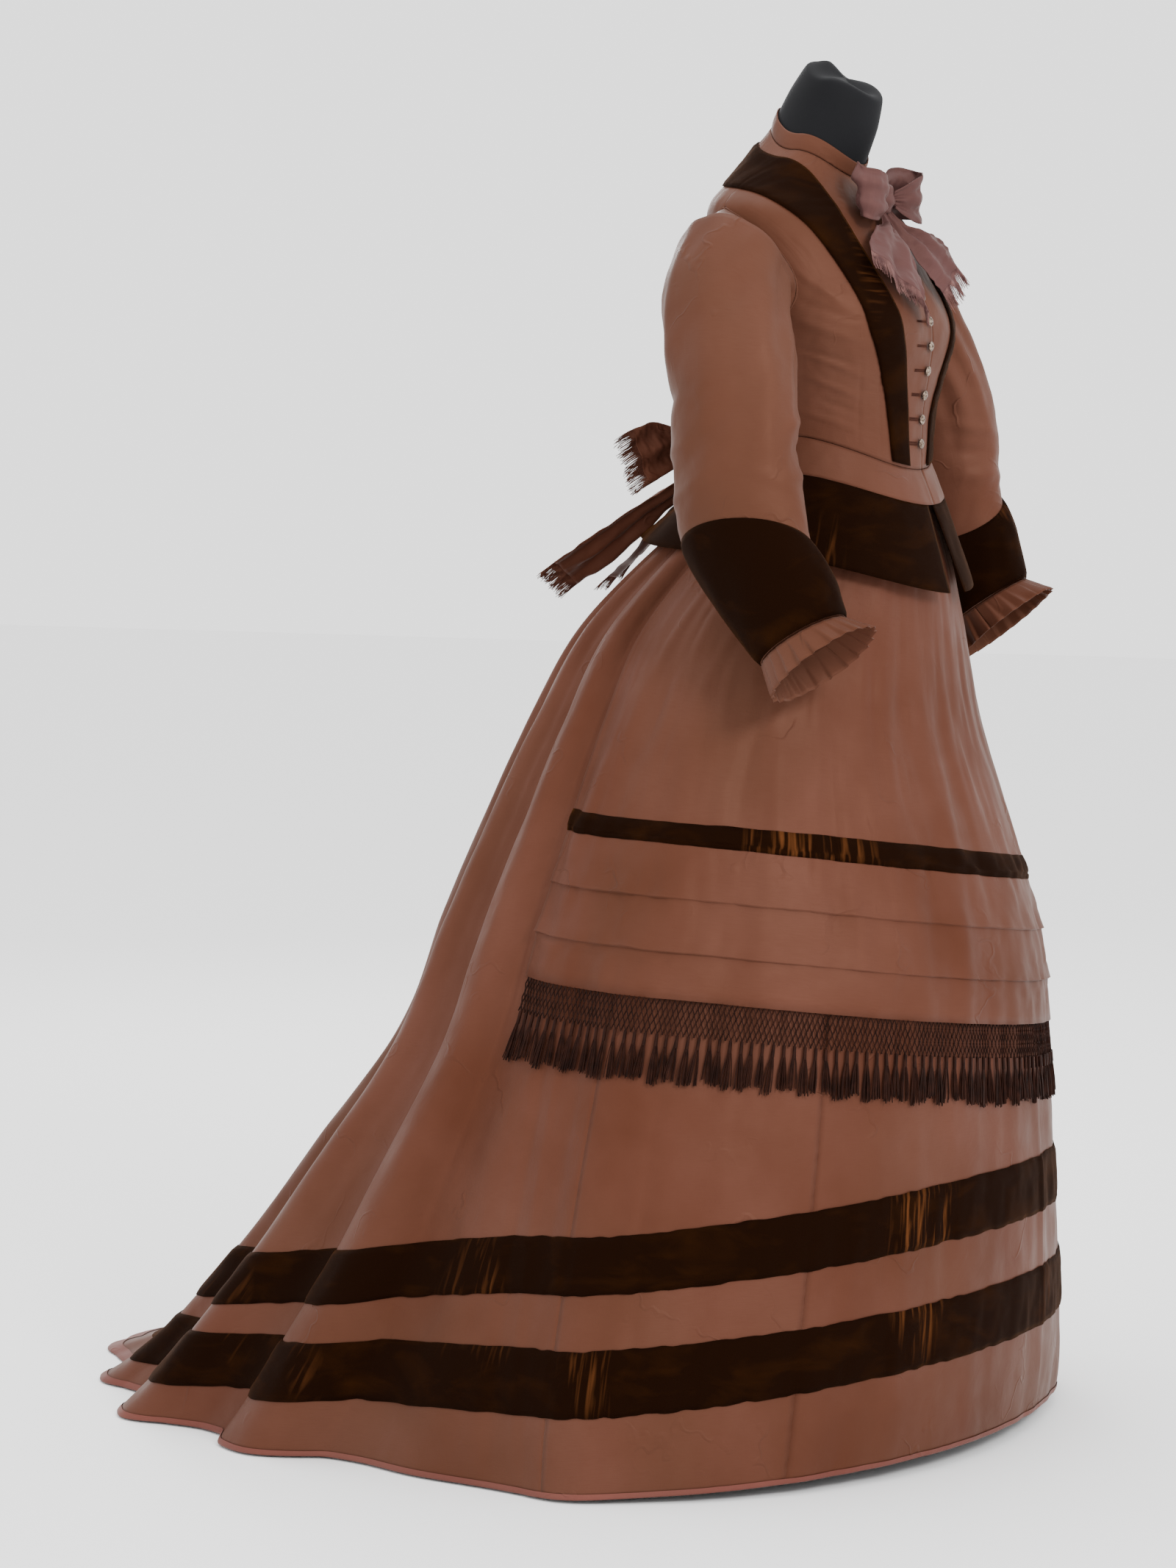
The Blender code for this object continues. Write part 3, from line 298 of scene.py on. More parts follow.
SHARP_FOLDS = [Fold(*row) for row in (
    (111.0, 1.8, -0.008, -0.006), (121.0, 1.6, 0.006, 0.004), (123.5, 1.4, -0.007, -0.005),
    (131.0, 1.5, -0.004, -0.005), (138.5, 1.4, 0.006, 0.005), (141.0, 1.3, -0.008, -0.004),
    (149.0, 1.5, -0.005, -0.004), (156.0, 1.4, 0.005, 0.005), (158.5, 1.3, -0.006, -0.005),
    (167.0, 1.6, -0.004, -0.004), (175.5, 1.6, -0.006, -0.005),
)]
WAISTBAND_Z, WAIST_EASE, SKIRT_TOP = 1.08, 0.12, 1.065
SQUARE_BACK, SQUARE_TOP = 0.080, 0.80
TAIL_REACH, TAIL_HALF_ANGLE, TAIL_HEIGHT = 0.105, 19.0, 0.030
FOLD_WANDER, FOLD_ROUNDNESS, PRESSED_ROUNDNESS = 1.2, 2.0, 1.5
SEAM_DIP, SEAM_HALF_ANGLE = 0.0006, 0.30
PUCKER_REACH, PUCKER_LENGTH, PUCKER_HALF_ANGLE = 0.0005, 0.021, 1.1
SKIRT_RUMPLES = [(0.0028, 7.0, 0.33, 1), (0.0014, 3.1, 0.12, 2), (0.0005, 1.3, 0.035, 3)]
HEM_CLEARANCE = 0.001
FRONT_SEAM, SIDE_SEAM = 45.0, 85.5
HEM_LINE = (0.018, 0.002, 0.002)
LEVEL_CURVE = 1.3
TAFFETA = 0.0014
SKIRT_ROWS = 136
METRES_PER_DEGREE = 0.006
RUST = (0.080, 0.0298, 0.0194)
RUST_DEEP = (0.057, 0.0178, 0.0095)
RUST_SHOT = (0.059, 0.0278, 0.0157)
Crease = namedtuple("Crease", "across_low up_low across_high up_high half_width reach")
SKIRT_CREASES = [Crease(*row) for row in (
    (-91.0, 0.02, -95.0, 0.48, 0.004, 0.0022), (-93.5, 0.02, -98.0, 0.5, 0.005, -0.0024),
    (-74.0, 0.02, -76.0, 0.42, 0.0045, 0.0026), (-71.0, 0.02, -73.5, 0.42, 0.006, -0.002),
    (-58.0, 0.04, -61.0, 0.44, 0.008, 0.0016), (-20.0, 0.05, -22.0, 0.4, 0.006, 0.0014),
    (11.0, 0.03, 10.0, 0.44, 0.0045, 0.0024), (-64.0, 0.4, -50.0, 0.37, 0.006, 0.0014),
    (-86.0, 0.395, -70.0, 0.385, 0.005, 0.0012), (-40.0, 0.36, -24.0, 0.375, 0.005, 0.0011),
    (-80.0, 0.05, -62.0, 0.075, 0.005, 0.0013), (-38.0, 0.085, -20.0, 0.072, 0.005, 0.0012),
    (60.0, 0.03, 63.0, 0.42, 0.005, 0.0022), (38.0, 0.03, 36.0, 0.42, 0.005, 0.0018),
    (92.0, 0.02, 97.0, 0.48, 0.005, 0.0022), (75.0, 0.3, 50.0, 0.34, 0.006, 0.0014),
)]
WAIST_CREASES = [Crease(*row) for row in (
    (-100.0, 0.72, -88.0, 1.03, 0.006, 0.003), (-92.0, 0.76, -80.0, 1.03, 0.006, -0.0026),
    (-80.0, 0.82, -66.0, 1.02, 0.0055, 0.0024), (-66.0, 0.7, -54.0, 0.98, 0.007, -0.002),
    (-30.0, 0.66, -22.0, 0.95, 0.007, 0.0018), (-105.0, 0.62, -98.0, 0.86, 0.007, 0.003),
    (24.0, 0.66, 18.0, 0.96, 0.007, 0.0018), (60.0, 0.7, 52.0, 0.98, 0.007, 0.0022),
    (84.0, 0.74, 76.0, 1.02, 0.006, 0.0026), (98.0, 0.66, 92.0, 0.98, 0.006, -0.0026),
)]
Panel = namedtuple("Panel", "node first last columns width length area")
SKIRT_PANELS = [
    Panel("skirt_back_right", -180.0, -SIDE_SEAM, 152, 0.98, 1.32, 0.86),
    Panel("skirt_side_right", -SIDE_SEAM, -FRONT_SEAM, 36, 0.30, 1.09, 0.24),
    Panel("skirt_front", -FRONT_SEAM, FRONT_SEAM, 76, 0.66, 1.06, 0.55),
    Panel("skirt_side_left", FRONT_SEAM, SIDE_SEAM, 36, 0.30, 1.09, 0.24),
    Panel("skirt_back_left", SIDE_SEAM, 180.0, 152, 0.98, 1.32, 0.86),
]


def crease_reach(across, up, creases, metres_across):
    """How far soft ridges and troughs, each along a line, push the cloth."""
    reach = np.zeros(len(across))
    for crease in creases:
        step = np.array([(crease.across_high - crease.across_low) * metres_across,
                         crease.up_high - crease.up_low])
        place_x = (across - crease.across_low) * metres_across
        place_y = up - crease.up_low
        share = np.clip((place_x * step[0] + place_y * step[1]) / (step @ step), 0, 1)
        gap = np.hypot(place_x - share * step[0], place_y - share * step[1]) / crease.half_width
        reach += crease.reach * np.exp(-gap * gap) * np.sin(math.pi * (0.06 + 0.88 * share)) ** 0.6
    return reach


def rumple(across, up, cell_across, cell_up, seed):
    """Soft unevenness between -1 and 1, one random height to each cell."""
    heights = np.random.default_rng(seed).uniform(-1, 1, (64, 64))
    x, y = across / cell_across + 1000, up / cell_up + 1000
    i, j = np.floor(x).astype(int), np.floor(y).astype(int)
    s, t = x - i, y - j
    s, t = s * s * (3 - 2 * s), t * t * (3 - 2 * t)
    low = heights[i % 64, j % 64] * (1 - s) + heights[(i + 1) % 64, j % 64] * s
    high = heights[i % 64, (j + 1) % 64] * (1 - s) + heights[(i + 1) % 64, (j + 1) % 64] * s
    return low * (1 - t) + high * t


def skirt_ring(angle, z):
    """The skirt's plain section at each height, squarer behind where the train spreads."""
    heights, *columns = zip(*SKIRT_FORM)
    y_front, half_width, y_side, y_back = [read_smooth(heights, column, z) for column in columns]
    x, y = body_ring(half_width, y_front, y_side, y_back, angle)
    square = SQUARE_BACK * np.clip(1 - z / SQUARE_TOP, 0, None) * np.sin(np.radians(2 * angle)) ** 2
    square = np.where(y >= y_side, square, 0.0)
    return np.stack([x * (1 + square), y_side + (y - y_side) * (1 + square)], -1)


def fold_reach(angle, z):
    """The pleats that fan out behind, wide ones and the pressed edges within them."""
    rise = np.clip(z / SKIRT_FORM[-1].z, 0, 1)
    ease = np.clip((WAISTBAND_Z - z) / WAIST_EASE, 0, 1)
    wander = rumple(np.sign(angle) * 7.0 + 0 * angle, z, 1.0, 0.30, 5) * FOLD_WANDER * (1 - rise)
    reach = np.zeros(len(angle))
    for table, power in ((FOLDS, FOLD_ROUNDNESS), (SHARP_FOLDS, PRESSED_ROUNDNESS)):
        for fold in table:
            aside = np.abs(np.abs(angle) + wander - fold.angle) / fold.half_width
            here = fold.reach_hem + (fold.reach_waist - fold.reach_hem) * rise
            reach += here * ease * np.exp(-aside ** power)
    aside = (np.abs(angle) - 180.0) / TAIL_HALF_ANGLE
    return reach + TAIL_REACH * np.exp(-aside * aside - z / TAIL_HEIGHT)


def seam_reach(angle, z):
    """The small dip and puckers of the skirt's straight seams."""
    reach = np.zeros(len(angle))
    for seam in (-SIDE_SEAM, -FRONT_SEAM, FRONT_SEAM, SIDE_SEAM):
        gap = np.abs(angle - seam)
        wave = z * 2 * math.pi / PUCKER_LENGTH + rumple(z, z, 0.05, 0.05, 9) * 3
        pucker = PUCKER_REACH * np.sin(wave) * np.exp(-gap / PUCKER_HALF_ANGLE)
        reach += pucker - SEAM_DIP * np.exp(-(gap / SEAM_HALF_ANGLE) ** 2)
    return reach


def skirt_point(angle, z):
    """The skirt's outside, with its folds, seams, creases and soft unevenness."""
    along = skirt_ring(angle + 0.5, z) - skirt_ring(angle - 0.5, z)
    along /= np.linalg.norm(along, axis=1)[:, None]
    calm = np.clip((SKIRT_TOP - z) / 0.10, 0, 1) * np.clip(z / 0.03, 0, 1)
    reach = seam_reach(angle, z)
    for height, wide, tall, seed in SKIRT_RUMPLES:
        reach += height * rumple(angle, z, wide, tall, seed)
    reach += crease_reach(angle, z, SKIRT_CREASES, METRES_PER_DEGREE)
    reach += crease_reach(angle, z, WAIST_CREASES, METRES_PER_DEGREE * 0.6)
    reach = reach * calm + fold_reach(angle, z)
    side = np.stack([along[:, 1], -along[:, 0]], -1) * reach[:, None]
    return np.column_stack([skirt_ring(angle, z) + side, z])


def on_skirt(angle, z, out):
    """Place on the skirt, so far out from its cloth."""
    point = skirt_point(angle, z)
    normal = outward(skirt_point, angle, z, 0.35, 0.003)
    return point + normal * np.broadcast_to(out, z.shape)[:, None]


def add_range(nodes, links, value, low, high, out_low=0.0, out_high=1.0):
    spread = nodes.new("ShaderNodeMapRange")
    for key, number in (("From Min", low), ("From Max", high),
                        ("To Min", out_low), ("To Max", out_high)):
        spread.inputs[key].default_value = number
    links.new(value, spread.inputs["Value"])
    return spread.outputs["Result"]


def add_ridge(nodes, links, value, half_width):
    """Thin lines, 1 along the places where a noise passes its middle value."""
    centred = nodes.new("ShaderNodeMath")
    centred.operation = "SUBTRACT"
    centred.inputs[1].default_value = 0.5
    links.new(value, centred.inputs[0])
    folded = nodes.new("ShaderNodeMath")
    folded.operation = "ABSOLUTE"
    links.new(centred.outputs[0], folded.inputs[0])
    return add_range(nodes, links, folded.outputs[0], 0.0, half_width, 1.0, 0.0)


def add_product(nodes, links, first, second):
    product = nodes.new("ShaderNodeMath")
    product.operation = "MULTIPLY"
    links.new(first, product.inputs[0])
    links.new(second, product.inputs[1])
    return product.outputs[0]


def silk_taffeta(name, colour, deep, shot, crumple=0.22):
    """Crisp shot silk: fine ribs, a soft crumple, thin creases and a greener cast in places."""
    material, nodes, links, shader = start_material(name, 0.40)
    place = nodes.new("ShaderNodeTexCoord")
    flat = place.outputs["UV"]
    cloudy = add_noise(nodes, links, place.outputs["Object"], 5.0, 4.0)
    base = add_mix(nodes, links, add_range(nodes, links, cloudy, 0.35, 0.65), deep, colour)
    greener = add_noise(nodes, links, place.outputs["Object"], 2.6, 3.0, (1, 1, 0.6), 0.5)
    base = add_mix(nodes, links, add_range(nodes, links, greener, 0.40, 0.70, 0.0, 0.45), base, shot)
    slubs = add_noise(nodes, links, flat, 60.0, 2.0, (1, 14, 1))
    slub_share = add_range(nodes, links, slubs, 0.40, 0.75, 0.0, 0.22)
    links.new(add_mix(nodes, links, slub_share, base, deep), shader.inputs["Base Color"])
    shader.inputs["Sheen Weight"].default_value = 0.03
    shader.inputs["Sheen Roughness"].default_value = 0.35
    shader.inputs["Sheen Tint"].default_value = (1.0, 0.80, 0.66, 1.0)
    shader.inputs["Specular IOR Level"].default_value = 0.12
    shader.inputs["Specular Tint"].default_value = (1.0, 0.60, 0.44, 1.0)
    gloss = add_noise(nodes, links, place.outputs["Object"], 22.0, 3.0)
    links.new(add_range(nodes, links, gloss, 0.3, 0.7, 0.46, 0.60), shader.inputs["Roughness"])
    wavy = add_noise(nodes, links, place.outputs["Object"], 11.0, 2.0, (1, 1, 0.5), 0.4)
    crumpled = add_noise(nodes, links, flat, 34.0, 5.0, (1, 0.7, 1), 0.8)
    ribs = add_noise(nodes, links, flat, 900.0, 1.0, (0.15, 1, 1))
    sharp = add_noise(nodes, links, place.outputs["Object"], 9.0, 3.0)
    here = add_noise(nodes, links, place.outputs["Object"], 13.0, 1.0)
    creased = add_product(nodes, links, add_ridge(nodes, links, sharp, 0.012),
                          add_range(nodes, links, here, 0.52, 0.62))
    normal = add_bump(nodes, links, wavy, 0.5, 0.008)
    normal = add_bump(nodes, links, creased, 0.45, 0.0018, normal)
    normal = add_bump(nodes, links, crumpled, crumple, 0.0035, normal)
    normal = add_bump(nodes, links, ribs, 0.15, 0.0003, normal)
    links.new(normal, shader.inputs["Normal"])
    return material


def panel_surface(panel):
    def surface(u, v):
        angle = panel.first + (panel.last - panel.first) * u
        hem = line_height(*HEM_LINE, angle, LEVEL_CURVE) + HEM_CLEARANCE
        return on_skirt(angle, hem + (SKIRT_TOP - hem) * v, 0.0)
    return surface


rust_taffeta = silk_taffeta("rust taffeta", RUST, RUST_DEEP, RUST_SHOT)
for panel in SKIRT_PANELS:
    gore = lay_cloth(panel.node + "_cloth", panel.columns, SKIRT_ROWS, (panel.width, panel.length),
                     panel_surface(panel), thick=TAFFETA)
    fit(gore, rust_taffeta, [panel.node])

# The hem binding: a narrow strip of rose silk, folded over the raw edge of all five panels
# and run down on both sides, where it takes the wear of the floor.
BINDING_REACH, BINDING_WIDTH, BINDING_TURN = 0.0010, 0.0065, 0.0007
BINDING_SIZE = (3.70, 0.013)
FLOOR_CLEARANCE = 0.0006
ROSE, ROSE_DEEP, ROSE_SHOT = (0.125, 0.042, 0.033), (0.095, 0.030, 0.024), (0.11, 0.047, 0.037)


def binding_surface(u, v):
    """Rose silk, turned round the hem's edge: up inside it, under it and up its face."""
    angle = -180 + 360 * u
    hem = line_height(*HEM_LINE, angle, LEVEL_CURVE)
    turn = (v - 0.5) * 2
    rise = BINDING_WIDTH * np.abs(turn) ** 1.6 * np.where(turn > 0, 1.0, 0.4)
    z = np.maximum(hem + rise, FLOOR_CLEARANCE)
    flat = np.minimum(np.abs(turn) * 3, 1)
    out = np.where(turn > 0, BINDING_REACH, -TAFFETA - BINDING_REACH) * flat
    return on_skirt(angle, z, out - BINDING_TURN * (1 - flat))


binding = lay_cloth("hem_binding_cloth", 600, 8, BINDING_SIZE, binding_surface, closed=True)
fit(binding, silk_taffeta("rose binding", ROSE, ROSE_DEEP, ROSE_SHOT), ["hem_binding"])

# The skirt's waistband: a straight band of the taffeta that the panels are gathered into.
# The bodice hides it.
WAISTBAND_SIZE = (0.72, 0.023)
WAISTBAND = [Ring(*row) for row in (
    (1.0654, 1.0654, 1.0654, 0.1159, -0.1107, -0.0059, 0.0913),
    (1.088, 1.088, 1.088, 0.1135, -0.1085, -0.0065, 0.088),
)]
waistband = lay_cloth("waistband_cloth", 120, 6, WAISTBAND_SIZE,
                      lambda u, v: ring_point(WAISTBAND, v, 360 * u), closed=True, thick=0.0012)
fit(waistband, rust_taffeta, ["skirt_waistband"])

# Two bands of near-black brown silk velvet run round the skirt, cut on the straight and
# stitched down along both edges, so that the pile dips and shines at the stitching.
Level = namedtuple("Level", "z_front z_side z_back tilt")
SKIRT_LEVELS = [Level(*row) for row in (
    (0.018, 0.002, 0.002, 0.0), (0.121, 0.083, 0.022, 0.0), (0.188, 0.152, 0.08, 0.0),
    (0.25, 0.208, 0.098, 0.0), (0.314, 0.268, 0.16, 0.0), (0.468, 0.482, 0.52, -0.04),
    (0.516, 0.53, 0.565, -0.04), (0.572, 0.585, 0.615, -0.04), (0.628, 0.64, 0.668, -0.04),
    (0.655, 0.662, 0.695, -0.04), (0.8, 0.83, 0.85, -0.02), (0.93, 0.955, 0.965, -0.008),
    (1.065, 1.065, 1.065, 0.0),
)]
LOWER_BAND, UPPER_BAND, APRON_EDGE, TUCK_LOW, TUCK_UP, APRON_BAND, WAIST = 1, 3, 5, 6, 7, 8, 12
LAYER, VELVET = 0.0004, 0.0016
STITCHED_SHARE, EDGE_SHARE = 0.45, 1 / 26
VELVET_BROWN = (0.0050, 0.0016, 0.0008)
VELVET_LIGHT = (0.0160, 0.0050, 0.0012)
# Colour of the painted highlights on the velvet: rust glints that put its sheen into the base colour.
VELVET_PAINTED_GLINT = (0.066, 0.022, 0.007)


def level_height(level, angle):
    """Height of the seam or edge at a level, all the way round the skirt."""
    rows = [read_smooth(range(len(SKIRT_LEVELS)), column, level) for column in zip(*SKIRT_LEVELS)]
    tilt = rows[3] * np.sin(np.radians(angle))
    return np.maximum(line_height(*rows[:3], angle, LEVEL_CURVE) + tilt, 0.0)


def silk_velvet(name):
    """Cut pile: near black, with brown where it is crushed, and painted highlights: thin rust glints
    that stand in for its sheen at the folds.
    """
    material, nodes, links, shader = start_material(name, 0.85)
    place = nodes.new("ShaderNodeTexCoord")
    crushed = add_noise(nodes, links, place.outputs["Object"], 15.0, 4.0, (1, 1, 2.2), 0.5)
    share = add_range(nodes, links, crushed, 0.50, 0.95)
    base = add_mix(nodes, links, share, VELVET_BROWN, VELVET_LIGHT)
    # Painted highlight: where the patch noise below and the thin line noise after it are both high, the
    # colour turns to rust glints that stand in for the velvet's sheen at its folds. The patch noise
    # only marks where these painted glints show; it is not pressed pile.
    pressed = add_noise(nodes, links, place.outputs["Object"], 8.0, 1.0, (1, 1, 0.5))
    pressed = add_range(nodes, links, pressed, 0.58, 0.72)
    glint_lines = add_noise(nodes, links, place.outputs["UV"], 130.0, 2.0, (1, 0.10, 1), 0.3)
    glint_lines = add_range(nodes, links, glint_lines, 0.50, 0.68)
    painted_glint = add_product(nodes, links, pressed, glint_lines)
    links.new(add_mix(nodes, links, painted_glint, base, VELVET_PAINTED_GLINT), shader.inputs["Base Color"])
    shader.inputs["Sheen Weight"].default_value = 0.060
    shader.inputs["Sheen Roughness"].default_value = 0.25
    shader.inputs["Sheen Tint"].default_value = (0.80, 0.27, 0.04, 1.0)
    shader.inputs["Specular IOR Level"].default_value = 0.05
    shader.inputs["Specular Tint"].default_value = (1.0, 0.45, 0.16, 1.0)
    pile = add_noise(nodes, links, place.outputs["UV"], 1400.0, 2.0)
    normal = add_bump(nodes, links, crushed, 0.35, 0.004)
    links.new(add_bump(nodes, links, pile, 0.4, 0.0005, normal), shader.inputs["Normal"])
    return material


def edge_dip(share, width=EDGE_SHARE):
    """Height of velvet across its width, rounded down over a part of it at both edges."""
    return 1 - np.exp(-np.minimum(share, 1 - share) / width)


def velvet_height(share, stitched=STITCHED_SHARE):
    """How far velvet stands out, thinnest where it is stitched down."""
    return VELVET * (stitched + (1 - stitched) * edge_dip(share))


def band_surface(level):
    def surface(u, v):
        angle = -180 + 360 * u
        ripple = 0.0012 * rumple(angle, v, 1.6, 0.7, level + 20)
        low, high = level_height(level + 0 * u, angle), level_height(level + 1 + 0 * u, angle)
        z = low + (high - low) * v + ripple
        loft = 0.0007 * (1 + rumple(angle, v, 1.1, 0.25, level + 30)) * edge_dip(v)
        return on_skirt(angle, z, LAYER + velvet_height(v) + loft)
    return surface


brown_velvet = silk_velvet("brown velvet")
for name, level, size in (("velvet_band_lower", LOWER_BAND, (3.60, 0.069)),
                          ("velvet_band_upper", UPPER_BAND, (3.30, 0.062))):
    band = lay_cloth(name + "_pile", 560, 10, size, band_surface(level), closed=True,
                     thick=VELVET * 0.4)
    fit(band, brown_velvet, [name])

# The apron front: a rounded overskirt of the same taffeta, with two stitched tucks whose
# edges hang free, and a narrow velvet band above them. It is sewn in at the waist.
APRON_END = 108.0
LEVEL_METRES, TUCK_REACH, TUCK_FADE = 0.055, 0.0030, 0.014
TUCK_STITCHES, STITCH_DIP, STITCH_HALF_WIDTH = 0.020, 0.0006, 0.0012
APRON_COLUMNS, APRON_HUNG = 210, (1.05, 0.62)
APRON_BAND_SIZE = (1.13, 0.026)
PLEAT_ANGLE, PLEAT_STEP = -21.5, 0.0018


def tuck_reach(level, angle):
    """Above its edge a tuck lies on the cloth, and below it the cloth steps back in."""
    reach = np.zeros(len(level))
    for tuck in (TUCK_LOW, TUCK_UP):
        above = (level - tuck) * LEVEL_METRES
        wave = 1 + 0.45 * rumple(angle, 0 * angle, 2.4, 1.0, tuck)
        reach += np.where(above > 0, TUCK_REACH * wave * np.exp(-above / TUCK_FADE), 0.0)
        line = above - TUCK_STITCHES
        reach -= STITCH_DIP * np.exp(-(line / STITCH_HALF_WIDTH) ** 2)
    return reach


def apron_levels():
    """Rows of the apron, close together where the tucks step."""
    rows = []
    for low, high, count in ((APRON_EDGE, TUCK_LOW - 0.03, 9), (TUCK_LOW - 0.03, TUCK_LOW + 0.06, 11),
                             (TUCK_LOW + 0.06, TUCK_UP - 0.03, 9), (TUCK_UP - 0.03, TUCK_UP + 0.06, 11),
                             (TUCK_UP + 0.06, APRON_BAND, 9), (APRON_BAND, APRON_BAND + 1, 8),
                             (APRON_BAND + 1, WAIST, 52)):
        rows += list(np.linspace(low, high, count, endpoint=False))
    return np.array(rows + [WAIST])


def apron_out(level, angle):
    """How far out the apron hangs, with a pressed pleat down its near side."""
    calm = np.clip((WAIST - level) / 3, 0, 1)
    hung = 0.0018 * (1 + rumple(angle, level, 4.0, 0.9, 44)) * calm
    hung += 0.0009 * (1 + rumple(angle, level, 1.7, 0.4, 45)) * calm
    pleat = PLEAT_STEP * 0.5 * (1 + np.tanh((angle - PLEAT_ANGLE) / 0.35))
    hung += pleat * np.clip((APRON_BAND + 1 - level) / 2, 0, 1)
    return LAYER + TAFFETA + tuck_reach(level, angle) + hung


def apron_surface(u, v):
    rows = apron_levels()
    level = np.interp(v, np.linspace(0, 1, len(rows)), rows)
    angle = -APRON_END + 2 * APRON_END * u
    return on_skirt(angle, level_height(level, angle), apron_out(level, angle))


apron = lay_cloth("apron_cloth", APRON_COLUMNS, len(apron_levels()) - 1, APRON_HUNG, apron_surface,
                  thick=TAFFETA * 0.8)
fit(apron, rust_taffeta, ["apron"])


def apron_band_surface(u, v):
    angle = -APRON_END + 2 * APRON_END * u
    level = APRON_BAND + v
    loft = 0.0005 * (1 + rumple(angle, v, 1.1, 0.3, 51)) * edge_dip(v)
    out = apron_out(level, angle) + velvet_height(v) + loft
    return on_skirt(angle, level_height(level, angle), out)


apron_band = lay_cloth("apron_velvet_band_pile", 220, 8, APRON_BAND_SIZE, apron_band_surface,
                       thick=VELVET * 0.4)
fit(apron_band, brown_velvet, ["apron_velvet_band"])

# The apron's fringe: silk cord netted into a lattice of small diamonds, knotted where the
# cords cross, and ending in soft tassels, each bound below its own knot.
FRINGE_BROWN, FRINGE_LIGHT = (0.0080, 0.0021, 0.0010), (0.0200, 0.0058, 0.0030)
NET_DEPTH, NET_ROWS = 0.036, 5
NET_CORDS, NET_RADIUS = 224, 0.00072
TASSEL_LENGTH, TASSEL_STRANDS, STRAND_RADIUS = 0.047, 14, 0.00068
TASSEL_HALF_ANGLE, FRINGE_SEED = 0.88, 7
FRINGE_END = APRON_END - 0.6
CORD_ANGLE = 2 * FRINGE_END / NET_CORDS
NET_OUT, NECK_OUT = 0.0030, 0.0036
KNOT_RADIUS, NECK_RADIUS, KNOT_HALF_LENGTH = 0.0012, 0.0019, 0.0008


def twist_cords(name, paths, radius, sides=0):
    """Round cords of one thickness along paths, all made one mesh."""
    curve = bpy.data.curves.new(name, "CURVE")
    curve.dimensions = "3D"
    curve.bevel_depth, curve.bevel_resolution, curve.use_fill_caps = radius, sides, True
    for path in paths:
        spline = curve.splines.new("POLY")
        spline.points.add(len(path) - 1)
        spline.points.foreach_set("co", np.column_stack([path, np.ones(len(path))]).ravel())
    holder = show(name, curve)
    shown = holder.evaluated_get(bpy.context.evaluated_depsgraph_get())
    mesh = bpy.data.meshes.new_from_object(shown)
    bpy.data.objects.remove(holder)
    bpy.data.curves.remove(curve)
    mesh.shade_smooth()
    return show(name, mesh)


def silk_cord(name, dark, light):
    material, nodes, links, shader = start_material(name, 0.55)
    place = nodes.new("ShaderNodeTexCoord").outputs["Object"]
    share = add_range(nodes, links, add_noise(nodes, links, place, 90.0, 4.0), 0.35, 0.7)
    links.new(add_mix(nodes, links, share, dark, light), shader.inputs["Base Color"])
    shader.inputs["Sheen Weight"].default_value = 0.008
    shader.inputs["Specular IOR Level"].default_value = 0.06
    shader.inputs["Sheen Tint"].default_value = (0.95, 0.62, 0.48, 1.0)
    twist = add_noise(nodes, links, place, 1500.0, 1.0)
    links.new(add_bump(nodes, links, twist, 0.4, 0.0004), shader.inputs["Normal"])
    return material


def hang_fringe(angles, falls, outs):
    """Paths below the apron's edge, one row of each table to a path."""
    angle, fall, out = (np.concatenate(table) for table in (angles, falls, outs))
    edge = level_height(APRON_EDGE + 0 * angle, angle)
    points = on_skirt(angle, edge - fall, out)
    return np.split(points, np.cumsum([len(row) for row in angles])[:-1])


def net_paths():
    """Cords that lean one step to and fro, meeting their neighbours in each row's knots."""
    rows = np.arange(NET_ROWS * 2 + 1)
    swing = np.array([0.0, 0.5, 1.0, 0.5] * NET_ROWS)[:len(rows)]
    angles, falls, outs = [], [], []
    for k in range(NET_CORDS):
        for lean in (-1, 1):
            angles.append(-FRINGE_END + CORD_ANGLE * (k + 0.5 + lean * swing * 0.5))
            falls.append(rows * NET_DEPTH / (NET_ROWS * 2))
            outs.append(np.full(len(rows), NET_OUT + lean * 0.0003))
    return hang_fringe(angles, falls, outs)


def net_knots():
    """A small knot wherever two of the net's cords meet."""
    angles, falls, outs = [], [], []
    for row in range(1, NET_ROWS + 1):
        for k in range(NET_CORDS):
            shift = 0.0 if row % 2 == 0 else 0.5
            angles.append(np.full(2, -FRINGE_END + CORD_ANGLE * (k + 0.5 + shift)))
            falls.append(row * NET_DEPTH / NET_ROWS + np.array([-1, 1]) * KNOT_HALF_LENGTH)
            outs.append(np.full(2, NET_OUT))
    return hang_fringe(angles, falls, outs)


def tassel_paths():
    """Strands that leave a bound neck together, spread, and end unevenly; and the necks."""
    chance = np.random.default_rng(FRINGE_SEED)
    t = np.array([0.0, 0.22, 0.42, 0.64, 0.84, 1.0])
    strands, necks = ([], [], []), ([], [], [])
    for k in range(NET_CORDS // 2):
        middle = -FRINGE_END + 2 * CORD_ANGLE * (k + 0.5)
        lean = chance.normal(0, 0.30)
        long = TASSEL_LENGTH * chance.uniform(0.90, 1.08)
        necks[0].append(np.full(4, middle))
        necks[1].append(NET_DEPTH + np.array([0.0, 0.004, 0.010, 0.013]))
        necks[2].append(np.full(4, NECK_OUT))
        for _ in range(TASSEL_STRANDS):
            aside, ahead = chance.uniform(-1, 1) * TASSEL_HALF_ANGLE, chance.uniform(-0.6, 1)
            spread = np.array([0.22, 0.30, 0.62, 0.88, 1.0, 1.02 + chance.uniform(-0.14, 0.2)])
            strands[0].append(middle + aside * spread + lean * t)
            strands[1].append(NET_DEPTH + 0.002 + long * t * chance.uniform(0.93, 1.04))
            strands[2].append(NECK_OUT + 0.0020 * ahead * spread)
    return hang_fringe(*strands), hang_fringe(*necks)


